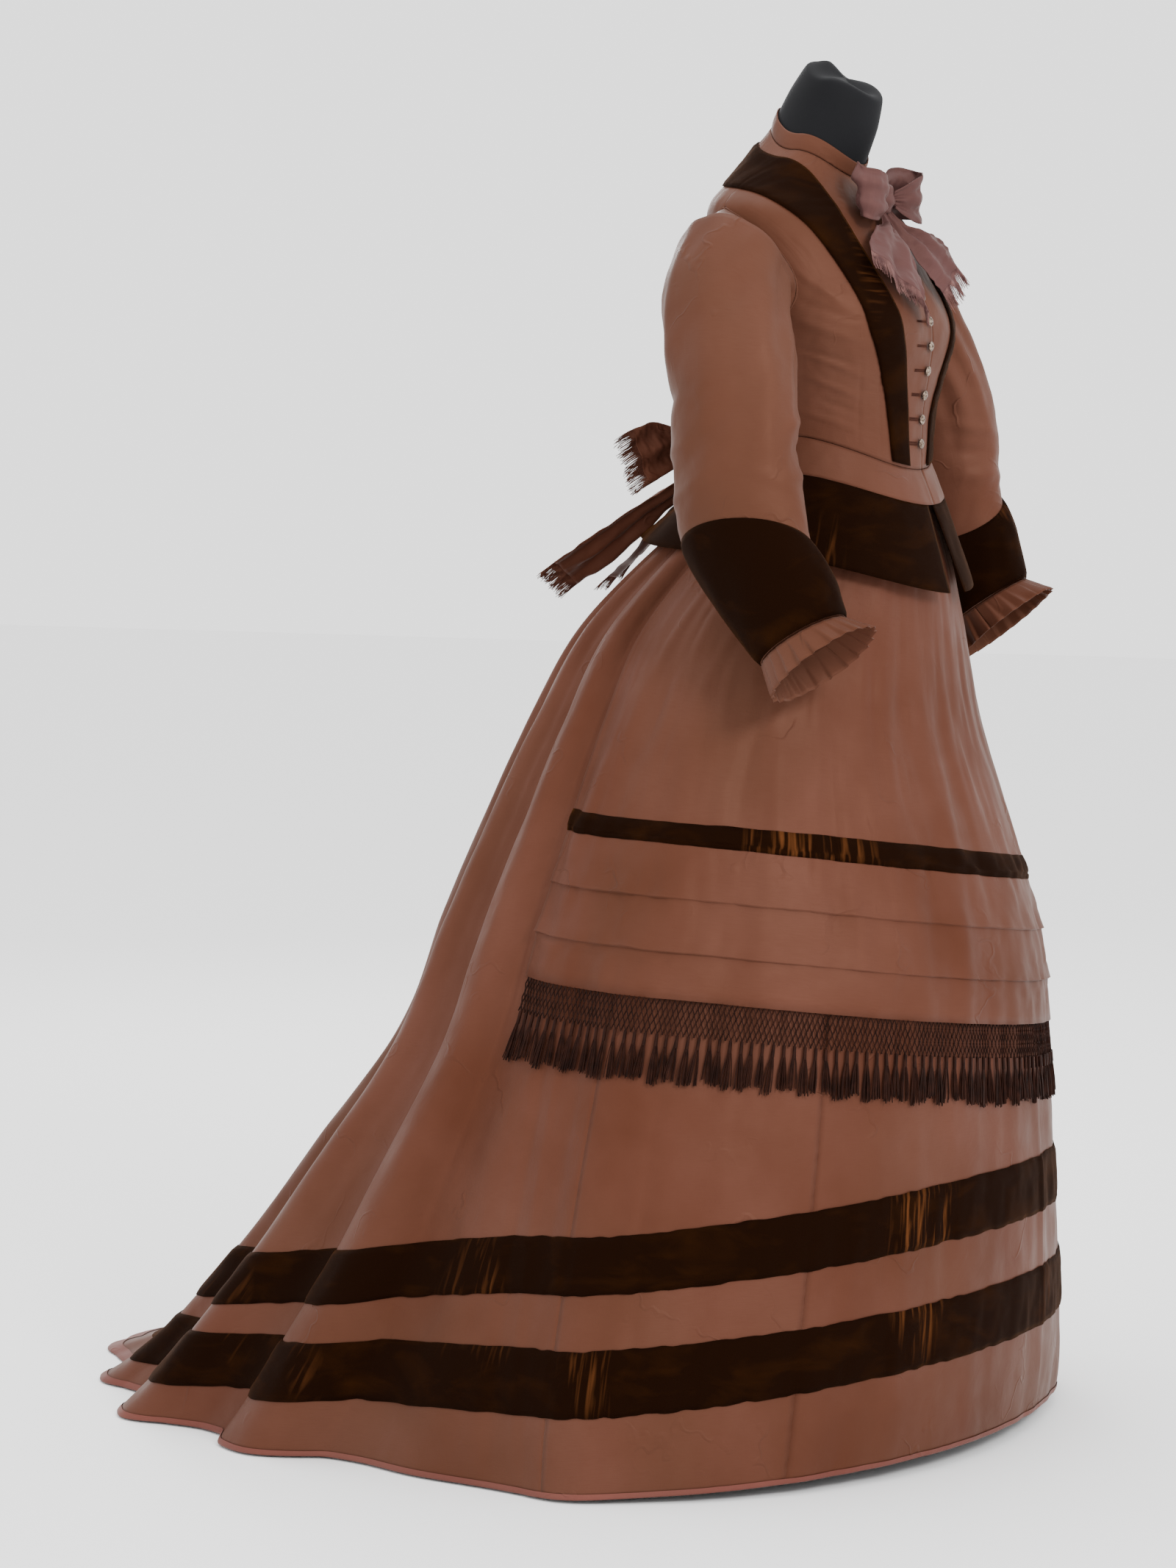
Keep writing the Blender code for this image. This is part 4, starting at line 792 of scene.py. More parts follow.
fringe_silk = silk_cord("brown fringe silk", FRINGE_BROWN, FRINGE_LIGHT)
strands, necks = tassel_paths()
net = twist_cords("apron_fringe_net", net_paths(), NET_RADIUS)
net_knot = twist_cords("apron_fringe_knots", net_knots(), KNOT_RADIUS)
tassels = twist_cords("apron_fringe_tassels", strands, STRAND_RADIUS)
tassel_necks = twist_cords("apron_fringe_necks", necks, NECK_RADIUS, 1)
for cords in (net, net_knot, tassels, tassel_necks):
    fit(cords, fringe_silk, ["apron_fringe"])

# The bodice: two fronts and two backs of taffeta, boned and cut close, with two darts in
# each front. The right front laps over the left, where nine buttons close it.
BODICE_ROWS, CLOSING, BODICE_SIDE = 104, 3.4, 96.0
UNDERARM, SHOULDER_TIP, NECK = 3, 6, 9
ARMHOLE_FRONT, ARMHOLE_BACK = 27.0, 23.0
BODICE_METRES_PER_DEGREE = 0.0023
DART_SEAM, DART_WIDE_SEAM, BODICE_PUCKER = 32.0, 45.0, 0.009
FRONT_SIZE, BACK_SIZE = (0.24, 0.33), (0.20, 0.34)
BODICE_CREASES = [Crease(*row) for row in (
    (-31.0, 0.1, -34.0, 2.4, 0.0022, -0.0012), (-45.0, 0.1, -44.0, 2.2, 0.0022, -0.0012),
    (31.0, 0.1, 34.0, 2.4, 0.0022, -0.0012), (45.0, 0.1, 44.0, 2.2, 0.0022, -0.0012),
    (-44.0, 1.3, -72.0, 1.7, 0.0036, 0.0024), (-44.0, 0.9, -66.0, 1.1, 0.0032, -0.002),
    (-44.0, 1.9, -76.0, 2.5, 0.004, 0.0022), (-46.0, 0.5, -80.0, 0.7, 0.0032, 0.002),
    (-80.0, 2.6, -50.0, 2.2, 0.004, -0.002), (-74.0, 3.4, -46.0, 2.9, 0.0042, 0.0024),
    (-70.0, 3.9, -44.0, 3.5, 0.004, -0.0018), (-66.0, 4.6, -50.0, 4.0, 0.0042, 0.0022),
    (33.0, 1.2, 58.0, 1.5, 0.003, 0.0014), (46.0, 0.6, 70.0, 0.8, 0.003, 0.0013),
    (64.0, 4.5, 52.0, 4.0, 0.004, 0.0015), (130.0, 0.2, 128.0, 5.0, 0.0016, -0.0008),
    (-130.0, 0.2, -128.0, 5.0, 0.0016, -0.0008), (-150.0, 0.6, -118.0, 1.0, 0.0035, 0.0014),
    (150.0, 0.6, 118.0, 1.0, 0.0035, 0.0014), (-116.0, 2.4, -140.0, 2.9, 0.0035, 0.0012),
    (116.0, 2.4, 140.0, 2.9, 0.0035, 0.0012),
)]


def level_metres(level):
    return np.interp(level, [0, 3, 9], [0.0, 0.135, 0.330])


def bodice_point(angle, level):
    """The outside of the bodice, with its darts, drag lines and soft puckers."""
    metres = level_metres(level)
    creases = [crease._replace(up_low=level_metres(crease.up_low), up_high=level_metres(crease.up_high))
               for crease in BODICE_CREASES]
    reach = crease_reach(angle, metres, creases, BODICE_METRES_PER_DEGREE)
    reach += 0.0006 * rumple(angle, metres, 9.0, 0.022, 61)
    reach += 0.0003 * rumple(angle, metres, 4.0, 0.009, 62)
    for seam in (DART_SEAM, DART_WIDE_SEAM, BODICE_SIDE, 180.0):
        for place in (-seam, seam):
            wave = np.sin(metres * 2 * math.pi / BODICE_PUCKER + place)
            reach += 0.0003 * wave * np.exp(-np.abs(angle - place) / 2.5)
    between_darts = np.exp(-((np.abs(angle) - 38.5) / 5.0) ** 2) * np.clip((2.7 - level) / 0.8, 0, 1)
    pucker = np.sin(metres * 2 * math.pi / 0.0088 + 1.4 * rumple(angle, metres, 6.0, 0.02, 63))
    reach += 0.00085 * pucker * between_darts
    calm = np.clip(level / 0.3, 0, 1) * np.clip((NECK - level) / 0.8, 0, 1)
    return body_point(angle, level) + away(angle, reach * calm)


def on_bodice(angle, level, out):
    normal = outward(bodice_point, angle, level, 0.5, 0.03)
    return bodice_point(angle, level) + normal * np.broadcast_to(out, level.shape)[:, None]


def armhole(level, depth):
    share = np.clip((level - UNDERARM) / (SHOULDER_TIP - UNDERARM), 0, 1)
    return depth * np.sin(math.pi * share).clip(0) ** 0.7


def bodice_panel(side, back):
    def surface(u, v):
        level = v * NECK
        if back:
            start = BODICE_SIDE + armhole(level, ARMHOLE_BACK)
            angle = start + (179.9 - start) * u
        else:
            end = BODICE_SIDE - armhole(level, ARMHOLE_FRONT)
            first = CLOSING + 0.15 if side > 0 else -CLOSING + 0.15
            angle = first + (end - first) * u
        if side < 0:
            angle = -angle
        return on_bodice(angle, level, 0.0)

    def turned(u, v):
        return surface(1 - u, v) if side < 0 else surface(u, v)
    return turned


for hand, side in (("right", -1), ("left", 1)):
    front = lay_cloth(f"bodice_front_{hand}_cloth", 84, BODICE_ROWS, FRONT_SIZE,
                      bodice_panel(side, False), thick=TAFFETA)
    fit(front, rust_taffeta, [f"bodice_front_{hand}"])
    back = lay_cloth(f"bodice_back_{hand}_cloth", 62, BODICE_ROWS, BACK_SIZE,
                     bodice_panel(side, True), thick=TAFFETA)
    fit(back, rust_taffeta, [f"bodice_back_{hand}"])

# The collar is a low band of taffeta that stands up round the neck and is turned over at
# its top edge, joined in front under the bow.
COLLAR_SIZE = (0.37, 0.017)
COLLAR = [Ring(*row) for row in (
    (1.3945, 1.4245, 1.4565, 0.0588, -0.04, 0.008, 0.0588),
    (1.402, 1.4335, 1.466, 0.0566, -0.0435, 0.0055, 0.0555),
    (1.409, 1.442, 1.475, 0.0546, -0.0474, 0.003, 0.0526),
)]


def collar_surface(u, v):
    angle = CLOSING + 0.5 + 359.0 * u
    bulge = 0.0008 * np.sin(math.pi * v) + 0.0003 * rumple(angle, v, 14.0, 0.4, 71)
    return ring_point(COLLAR, v * 2, angle) + away(angle, bulge)


collar = lay_cloth("collar_cloth", 110, 10, COLLAR_SIZE, collar_surface, thick=TAFFETA)
fit(collar, rust_taffeta, ["collar"])

# Shaped velvet trim: from the waist it widens up each front, crosses the shoulder and meets
# behind the neck, hand stitched along both edges.
REVERS_SIZE = (0.56, 0.048)
Trim = namedtuple("Trim", "inner_angle inner_level outer_angle outer_level")
REVERS = [Trim(*row) for row in (
    (9.5, 0.05, 24.0, 0.05), (13.0, 1.2, 29.0, 1.2), (18.0, 2.2, 35.0, 2.2), (22.0, 3.1, 40.0, 3.1),
    (23.5, 4.1, 42.0, 4.0), (25.0, 5.1, 45.5, 5.0), (29.0, 6.2, 52.0, 5.8), (39.0, 7.2, 66.0, 6.3),
    (62.0, 8.2, 84.0, 6.65), (97.0, 8.55, 102.0, 6.8), (140.0, 8.4, 137.0, 6.75),
    (179.8, 8.2, 179.8, 6.6),
)]


def revers_surface(side):
    def surface(u, v):
        across = 1 - v if side < 0 else v
        at = u * (len(REVERS) - 1)
        rows = [read_smooth(range(len(REVERS)), column, at) for column in zip(*REVERS)]
        angle = rows[2] + (rows[0] - rows[2]) * across
        level = rows[3] + (rows[1] - rows[3]) * across
        loft = 0.0005 * (1 + rumple(at, across, 0.18, 0.4, 81)) * edge_dip(across)
        out = 0.0010 + velvet_height(across, 0.40) + loft
        return on_bodice(side * angle, level, out)
    return surface


for hand, side in (("right", -1), ("left", 1)):
    revers = lay_cloth(f"velvet_revers_{hand}_pile", 160, 11, REVERS_SIZE, revers_surface(side),
                       thick=VELVET * 0.4)
    fit(revers, brown_velvet, [f"velvet_revers_{hand}"])

# The basque: a close band of taffeta sewn on at the waist, and below it a short flared
# peplum of velvet that opens in front in a small upturned V.
BASQUE = [Ring(*row) for row in (
    (0.94, 0.985, 1.0, 0.172, -0.168, 0.01, 0.214),
    (0.988, 1.03, 1.036, 0.153, -0.15, 0.002, 0.166),
    (1.036, 1.073, 1.078, 0.134, -0.133, -0.005, 0.122),
    (1.0745, 1.1125, 1.1175, 0.1183, -0.1173, -0.01, 0.0923),
)]
PEPLUM_TOP_OPENING, PEPLUM_LOW_OPENING = 2.6, 6.5
BASQUE_SIZE, PEPLUM_SIZE = (0.80, 0.042), (0.50, 0.105)
PEPLUM_WAVE, WAVE_ANGLE, WAVE_START = 0.0022, 40.0, 100.0


def on_basque(angle, level, out):
    reach = 0.0006 * rumple(angle, level, 6.0, 0.5, 91) + out
    signed = np.where(angle > 180, angle - 360, angle)
    return ring_point(BASQUE, level, signed) + away(angle, reach)


def basque_surface(u, v):
    return on_basque(CLOSING + 0.2 + 359.6 * u, 2.006 + 0.994 * v, 0.0)


basque = lay_cloth("basque_band_cloth", 170, 12, BASQUE_SIZE, basque_surface, thick=TAFFETA)
fit(basque, rust_taffeta, ["basque_band"])


def peplum_surface(side):
    def surface(u, v):
        opening = PEPLUM_LOW_OPENING + (PEPLUM_TOP_OPENING - PEPLUM_LOW_OPENING) * v
        across = u if side > 0 else 1 - u
        angle = opening + (179.9 - opening) * across
        wave = PEPLUM_WAVE * np.sin(angle * 2 * math.pi / WAVE_ANGLE) * (1 - v) ** 1.5
        wave = wave * np.clip((angle - WAVE_START) / 30, 0, 1)
        roll = 0.0008 * edge_dip(v) * edge_dip(across, 0.4 * EDGE_SHARE)
        return on_basque(side * angle, v * 1.994, wave + roll - 0.0008)
    return surface


for hand, side in (("right", -1), ("left", 1)):
    peplum = lay_cloth(f"peplum_{hand}_pile", 100, 18, PEPLUM_SIZE, peplum_surface(side),
                       thick=VELVET * 0.8)
    fit(peplum, brown_velvet, [f"peplum_{hand}"])

# The sleeves: each one piece of taffeta set into the armhole, roomy down to the elbow and
# hanging bent. The arm inside is missing, so the cloth sinks into folds at the elbow.
Sleeve = namedtuple("Sleeve", "out y z half_depth half_width roll pitch left_y left_z")
SLEEVE = [Sleeve(*row) for row in (
    (0.18, 0.02, 1.284, 0.067, 0.071, 25, 0, 0.0, 0.0),
    (0.208, 0.012, 1.246, 0.073, 0.06, 52, 0, 0.0, 0.0),
    (0.23, -0.004, 1.198, 0.073, 0.056, 74, 0, 0.001, 0.0),
    (0.245, -0.017, 1.15, 0.071, 0.053, 84, 2, 0.003, 0.002),
    (0.255, -0.026, 1.1, 0.0705, 0.052, 84, 6, 0.007, 0.005),
    (0.26, -0.032, 1.05, 0.0705, 0.052, 74, 8, 0.012, 0.01),
    (0.262, -0.043, 0.996, 0.0735, 0.054, 56, 8, 0.02, 0.022),
    (0.262, -0.075, 0.95, 0.066, 0.048, 70, 20, 0.025, 0.025),
    (0.26, -0.11, 0.896, 0.0525, 0.042, 85, 33, 0.028, 0.022),
)]
CUFF_TOP, WRIST = 7.0, 9.0
SLEEVE_COLUMNS, SLEEVE_ROWS = 80, 128
SLEEVE_METRES_PER_DEGREE = 0.0011
SLEEVE_STEP = 0.052
SLEEVE_SIZE = (0.42, 0.50)
PIPING_POINTS, PIPING_RADIUS = 150, 0.0010
SLEEVE_CREASES = [Crease(*row) for row in (
    (52.0, 0.01, 66.0, 0.22, 0.0075, 0.0042), (66.0, 0.01, 80.0, 0.18, 0.0065, -0.0036),
    (82.0, 0.01, 92.0, 0.24, 0.008, 0.0036), (100.0, 0.02, 108.0, 0.16, 0.008, -0.0024),
    (38.0, 0.06, 50.0, 0.26, 0.008, -0.0034), (122.0, 0.03, 128.0, 0.3, 0.011, 0.0018),
    (150.0, 0.05, 156.0, 0.3, 0.012, -0.0016), (178.0, 0.04, 186.0, 0.28, 0.012, 0.0018),
    (45.0, 0.225, 100.0, 0.245, 0.0085, 0.0036), (40.0, 0.26, 92.0, 0.27, 0.0075, -0.0032),
    (48.0, 0.29, 110.0, 0.305, 0.0085, 0.0034), (100.0, 0.32, 150.0, 0.3, 0.009, 0.0018),
    (205.0, 0.05, 232.0, 0.16, 0.009, 0.0028), (215.0, 0.2, 290.0, 0.22, 0.009, -0.0024),
    (215.0, 0.26, 310.0, 0.27, 0.009, 0.0028), (210.0, 0.31, 290.0, 0.325, 0.0085, 0.0022),
    (330.0, 0.08, 350.0, 0.2, 0.009, -0.0024),
)]


def sleeve_section(station, theta, side):
    """A section seen on the wearer's right: 0 underneath, 90 in front, 180 on top."""
    out, y, z, half_depth, half_width, roll, pitch, left_y, left_z = station
    roll, pitch, turn = np.radians(roll), np.radians(pitch), np.radians(theta)
    zero = 0 * roll
    ahead = np.stack([zero, -np.cos(pitch), np.sin(pitch)], -1)
    up = np.stack([-np.sin(roll), np.cos(roll) * np.sin(pitch), np.cos(roll) * np.cos(pitch)], -1)
    centre = np.stack([-out, y + side * left_y, z + side * left_z], -1)
    across = (half_depth * np.sin(turn))[:, None] * ahead
    return centre + across - (half_width * np.cos(turn))[:, None] * up


def armhole_rim(theta):
    """The armhole on the wearer's right, read round from its lowest point."""
    level = np.linspace(UNDERARM, SHOULDER_TIP, 60)
    front = body_point(-BODICE_SIDE + armhole(level, ARMHOLE_FRONT), level)
    back = body_point(-BODICE_SIDE - armhole(level, ARMHOLE_BACK), level)
    share = np.linspace(0, 180, 60)
    front_x = [np.interp(theta, share, front[:, k]) for k in range(3)]
    back_x = [np.interp(360 - theta, share, back[:, k]) for k in range(3)]
    return np.where((theta <= 180)[:, None], np.stack(front_x, -1), np.stack(back_x, -1))


def sleeve_smooth(theta, station, side):
    """The plain sleeve: station 0 is the armhole, and then come the table's sections."""
    theta = np.mod(theta, 360.0)
    places = range(1, len(SLEEVE) + 1)
    rows = [read_smooth(places, column, np.maximum(station, 1)) for column in zip(*SLEEVE)]
    tube = sleeve_section(rows, theta, side)
    rim = armhole_rim(theta)
    share = np.clip(station, 0, 1)[:, None]
    start = sleeve_section([0 * theta + value for value in SLEEVE[0]], theta, side)
    return np.where(station[:, None] < 1, rim + (start - rim) * share ** 0.8, tube)


def sleeve_point(theta, station, side):
    """The sleeve with the folds of its cap, its elbow and its seam."""
    def smooth(angle, at):
        return sleeve_smooth(angle, at, side)
    normal = outward(smooth, theta, station, 2.0, 0.05)
    metres = station * SLEEVE_STEP
    shift_round, shift_along = side * 14, side * 0.012
    calm = np.clip(station / 0.35, 0, 1) * np.clip((CUFF_TOP - station) / 0.4, 0, 1)
    turn = np.mod(theta, 360.0)
    reach = crease_reach(turn + shift_round, metres - shift_along, SLEEVE_CREASES,
                         SLEEVE_METRES_PER_DEGREE)
    round_turn = np.radians(turn)
    ahead, aside = np.cos(round_turn), np.sin(round_turn)
    soft = rumple(6 * ahead, metres + aside * 0.07, 2.2, 0.035, 101 + side)
    fine = rumple(9 * ahead, metres + aside * 0.05, 1.3, 0.012, 103 + side)
    cap = 0.0012 * np.sin(24 * round_turn) * np.exp(-station / 0.25)
    reach += 0.0016 * soft + 0.0004 * fine + cap
    return smooth(theta, station) + normal * (reach * calm)[:, None]


def sleeve_out(theta, station, side, out):
    def plain(angle, at):
        return sleeve_point(angle, at, side)
    normal = outward(plain, theta, station, 1.5, 0.03)
    return plain(theta, station) + normal * np.broadcast_to(out, theta.shape)[:, None]


def on_left(points, side):
    return points * (-1, 1, 1) if side else points


def sleeve_surface(side):
    def surface(u, v):
        theta = 360 * u if side else 360 * (1 - u)
        station = 0.02 + (WRIST - 0.04) * (1 - v)
        return on_left(sleeve_out(theta, station, side, 0.0), side)
    return surface


def armhole_paths(side):
    """Two fine corded ridges, one on each side of the armhole's seam."""
    theta = np.linspace(0, 360, PIPING_POINTS)
    rim = armhole_rim(theta)
    aside = sleeve_smooth(theta, np.full(PIPING_POINTS, 0.06), 0)
    step = (aside - rim) / np.linalg.norm(aside - rim, axis=1)[:, None]
    hub = rim.mean(axis=0) + (0.035, 0.0, 0.0)
    lift = (rim - hub) / np.linalg.norm(rim - hub, axis=1)[:, None]
    return [on_left(rim + step * shift + lift * 0.0007, side) for shift in (-0.0014, 0.0012)]


for side, hand in enumerate(("right", "left")):
    sleeve = lay_cloth(f"sleeve_{hand}_cloth", SLEEVE_COLUMNS, SLEEVE_ROWS, SLEEVE_SIZE,
                       sleeve_surface(side), closed=True, thick=TAFFETA)
    fit(sleeve, rust_taffeta, [f"sleeve_{hand}"])
    piping = twist_cords(f"armhole_{hand}_piping", armhole_paths(side), PIPING_RADIUS, 2)
    fit(piping, rust_taffeta, [f"sleeve_{hand}"])

# Each cuff is a shaped band of velvet on the lower sleeve, and a narrow knife pleated
# frill of the taffeta is sewn inside its edge.
FRILL_PLEATS, FRILL_DEPTH, FRILL = 22, 0.0030, 0.0006
FRILL_OVER = 0.8
CUFF_SIZE, FRILL_SIZE = (0.40, 0.115), (0.58, 0.028)
FRILL_START = Sleeve(0.260, -0.1105, 0.8953, 0.0530, 0.0425, 85, 33, 0.028, 0.022)
FRILL_END = Sleeve(0.260, -0.134, 0.873, 0.0670, 0.0520, 85, 38, 0.028, 0.022)


def cuff_surface(side):
    def surface(u, v):
        theta = 360 * u if side else 360 * (1 - u)
        turn = np.radians(theta)
        station = WRIST - 0.02 - (WRIST - CUFF_TOP - 0.02) * v + 0.03 * np.sin(turn) * v
        crush = rumple(7 * np.cos(turn), station * 0.05 + np.sin(turn) * 0.05, 1.6, 0.02, 111 + side)
        out = LAYER + velvet_height(v, 0.35) + 0.0012 * (1 + crush) * edge_dip(v)
        return on_left(sleeve_out(theta, station, side, out), side)
    return surface


def frill_surface(side):
    def surface(u, v):
        theta = 360 * u if side else 360 * (1 - u)
        rows = [start + (end - start) * (1 - v) for start, end in zip(FRILL_START, FRILL_END)]
        phase = np.mod(theta / 360 * FRILL_PLEATS + 0.15 * rumple(theta, v, 9.0, 0.8, 121), 1.0)
        knife = np.where(phase < FRILL_OVER, phase / FRILL_OVER, (1 - phase) / (1 - FRILL_OVER)) - 0.5
        swell = knife * FRILL_DEPTH * (0.35 + 1.1 * (1 - v))
        swell += 0.0012 * rumple(theta, v, 16.0, 0.7, 122) * (1 - v)
        rows[3] = rows[3] + swell
        rows[4] = rows[4] + swell
        return on_left(sleeve_section(rows, theta, side), side)
    return surface


for side, hand in enumerate(("right", "left")):
    cuff = lay_cloth(f"cuff_{hand}_pile", 80, 20, CUFF_SIZE, cuff_surface(side), closed=True,
                     thick=VELVET * 0.5)
    fit(cuff, brown_velvet, [f"cuff_{hand}"])
    frill = lay_cloth(f"wrist_ruffle_{hand}_cloth", FRILL_PLEATS * 10, 10, FRILL_SIZE,
                      frill_surface(side), closed=True, thick=FRILL)
    fit(frill, rust_taffeta, [f"wrist_ruffle_{hand}"])

# Nine buttons close the front: domed metal buttons with a raised rim and a raised boss,
# each sewn through the left front and buttoned through a worked hole in the right one.
BUTTON_COUNT, BUTTON_TOP, BUTTON_LOW = 9, 1.316, 1.103
BUTTON_RADIUS, BUTTON_HALF_HEIGHT = 0.0055, 0.0028
BUTTON_PROFILE = [
    (0.00, 1.00), (0.16, 0.97), (0.26, 0.82), (0.34, 0.78), (0.52, 0.72), (0.68, 0.50),
    (0.78, 0.30), (0.84, 0.28), (0.92, 0.30), (1.00, 0.12), (0.97, -0.30), (0.70, -0.62), (0.00, -0.80),
]
HOLE_HALF_LENGTH, HOLE_HALF_WIDTH, HOLE_STITCHES, HOLE_ANGLE = 0.0085, 0.0014, 26, -6.6
METRES_PER_LEVEL, HOLE_METRES_PER_DEGREE, STITCH_RADIUS = 0.0385, 0.00205, 0.00028
BRONZE, BRONZE_DARK = (0.34, 0.26, 0.20), (0.07, 0.045, 0.032)


def aged_metal():
    material, nodes, links, shader = start_material("aged button metal", 0.34, 0.9)
    place = nodes.new("ShaderNodeTexCoord").outputs["Object"]
    worn = add_range(nodes, links, add_noise(nodes, links, place, 380.0, 4.0), 0.40, 0.66)
    links.new(add_mix(nodes, links, worn, BRONZE_DARK, BRONZE), shader.inputs["Base Color"])
    tarnish = add_noise(nodes, links, place, 260.0, 3.0)
    links.new(add_range(nodes, links, tarnish, 0.3, 0.7, 0.24, 0.5), shader.inputs["Roughness"])
    links.new(add_bump(nodes, links, worn, 0.3, 0.0002), shader.inputs["Normal"])
    return material


def closing_place(z):
    """Place and outward direction on the closing at a height."""
    levels = np.linspace(0, NECK, 800)
    heights = body_point(0 * levels, levels)[:, 2]
    level = levels[np.argmin(np.abs(heights - z)):][:1]
    point = body_point(0 * level, level)[0]
    return point, outward(body_point, 0 * level, level, 0.4, 0.02)[0], level


def spin_button(name):
    shape = bmesh.new()
    rim = [shape.verts.new((BUTTON_RADIUS * r, 0, BUTTON_HALF_HEIGHT * h)) for r, h in BUTTON_PROFILE]
    edges = [shape.edges.new(pair) for pair in zip(rim, rim[1:])]
    bmesh.ops.spin(shape, geom=rim + edges, cent=(0, 0, 0), axis=(0, 0, 1), angle=math.tau, steps=28,
                   use_merge=True)
    bmesh.ops.remove_doubles(shape, verts=shape.verts, dist=1e-6)
    bmesh.ops.recalc_face_normals(shape, faces=shape.faces)
    mesh = bpy.data.meshes.new(name)
    shape.to_mesh(mesh)
    shape.free()
    mesh.shade_smooth()
    return mesh


def stand_on(mesh, point, normal):
    """Turn a mesh's own up along a normal and carry it to its place."""
    turn = Vector(normal).to_track_quat("Z", "Y").to_matrix().to_4x4()
    turn.translation = Vector(point)
    mesh.transform(turn)


button_metal = aged_metal()
hole_levels = []
for k in range(BUTTON_COUNT):
    z = BUTTON_TOP + (BUTTON_LOW - BUTTON_TOP) * k / (BUTTON_COUNT - 1)
    point, normal, level = closing_place(z)
    mesh = spin_button(f"button_{k + 1}_metal")
    stand_on(mesh, point + normal * (BUTTON_HALF_HEIGHT + LAYER), normal)
    fit(show(f"button_{k + 1}_metal", mesh), button_metal, [f"button_{k + 1}"])
    hole_levels.append(level[0])


def buttonhole_paths():
    """Silk stitches across the two lips of each hole."""
    rise = HOLE_HALF_WIDTH * np.array([0.15, 0.55, 1.0]) / METRES_PER_LEVEL
    angles, levels, outs = [], [], []
    for level in hole_levels:
        for t in np.linspace(-1, 1, HOLE_STITCHES):
            for lip in (-1, 1):
                angles.append(np.full(3, HOLE_ANGLE + t * HOLE_HALF_LENGTH / HOLE_METRES_PER_DEGREE))
                levels.append(level + lip * rise)
                outs.append(np.array([0.0003, 0.0007, 0.0002]))
    points = on_bodice(np.concatenate(angles), np.concatenate(levels), np.concatenate(outs))
    return np.split(points, len(angles))


stitch_silk = silk_cord("buttonhole silk", (0.028, 0.009, 0.006), (0.048, 0.016, 0.010))
stitches = twist_cords("buttonhole_stitches", buttonhole_paths(), STITCH_RADIUS)
fit(stitches, stitch_silk, ["bodice_front_right"])

# The bows are of wide silk ribbon with ravelled ends: one in dull mauve at the throat, and
# one of rust taffeta at the back of the waist, whose ends stand out over the skirt.
Section = namedtuple("Section", "x y z wide_x wide_y wide_z")
NECK_KNOT = (0.0, -0.0711, 1.372, 0.0150, 0.013, 0.018)
NECK_LOOP = [Section(*row) for row in (
    (0.0104, -0.068, 1.374, 0.001, 0.0, 0.009), (0.034, -0.063, 1.378, 0.004, 0.003, 0.026),
    (0.055, -0.066, 1.38, 0.003, 0.002, 0.029), (0.064, -0.078, 1.377, -0.001, 0.0, 0.027),
    (0.053, -0.091, 1.373, -0.004, -0.003, 0.027), (0.034, -0.092, 1.37, -0.004, -0.003, 0.023),
    (0.0104, -0.078, 1.37, 0.0, 0.0, 0.009),
)]
NECK_TAIL_RIGHT = [Section(*row) for row in (
    (-0.0065, -0.0727, 1.36, 0.0055, 0.0, -0.001), (-0.015, -0.087, 1.342, 0.011, -0.001, -0.003),
    (-0.026, -0.1, 1.328, 0.022, -0.01, -0.014), (-0.042, -0.111, 1.303, 0.03, -0.016, -0.024),
    (-0.053, -0.12, 1.283, 0.034, -0.018, -0.03),
)]
NECK_TAIL_LEFT = [Section(*row) for row in (
    (0.0065, -0.0727, 1.36, 0.0055, 0.0, 0.001), (0.016, -0.088, 1.34, 0.011, -0.001, 0.003),
    (0.032, -0.105, 1.326, 0.022, 0.0, 0.011), (0.05, -0.117, 1.307, 0.026, 0.004, 0.018),
    (0.063, -0.124, 1.288, 0.027, 0.006, 0.019),
)]
BACK_KNOT = (0.0, 0.1198, 1.108, 0.018, 0.013, 0.020)
BACK_LOOP = [Section(*row) for row in (
    (0.0131, 0.117, 1.112, 0.0, 0.0, 0.01), (0.042, 0.117, 1.122, 0.002, -0.002, 0.024),
    (0.066, 0.125, 1.128, 0.002, -0.002, 0.028), (0.074, 0.14, 1.126, 0.0, 0.0, 0.027),
    (0.06, 0.151, 1.122, -0.002, 0.002, 0.026), (0.038, 0.146, 1.116, -0.002, 0.002, 0.022),
    (0.0131, 0.129, 1.11, 0.0, 0.0, 0.01),
)]
BACK_END_UPPER = [Section(*row) for row in (
    (0.0075, 0.1281, 1.1031, 0.002, 0.001, 0.007), (0.03, 0.163, 1.103, 0.01, 0.004, 0.018),
    (0.052, 0.18, 1.099, 0.014, 0.004, 0.028), (0.072, 0.193, 1.088, 0.014, 0.002, 0.031),
)]
BACK_END_LOWER = [Section(*row) for row in (
    (0.0075, 0.1207, 1.0914, 0.007, 0.0, 0.001), (0.022, 0.161, 1.06, 0.016, -0.001, 0.005),
    (0.036, 0.206, 1.026, 0.024, -0.002, 0.009), (0.052, 0.252, 0.988, 0.028, -0.002, 0.012),
    (0.067, 0.294, 0.957, 0.03, -0.002, 0.014),
)]
RIBBON, RIBBON_WAVE = 0.0007, 0.0024
RAVEL_LENGTH, RAVEL_STRANDS, RAVEL_RADIUS = 0.024, 150, 0.00030
MAUVE, MAUVE_DEEP, MAUVE_LIGHT = (0.070, 0.031, 0.030), (0.040, 0.016, 0.015), (0.092, 0.046, 0.042)


def ribbon_point(table, across, along):
    """Across runs from -1 to 1 over the ribbon's width, along from 0 to 1 down its length."""
    at = along * (len(table) - 1)
    rows = [read_smooth(range(len(table)), column, at) for column in zip(*table)]
    middle, half = np.stack(rows[:3], -1), np.stack(rows[3:], -1)
    return middle + half * across[:, None]


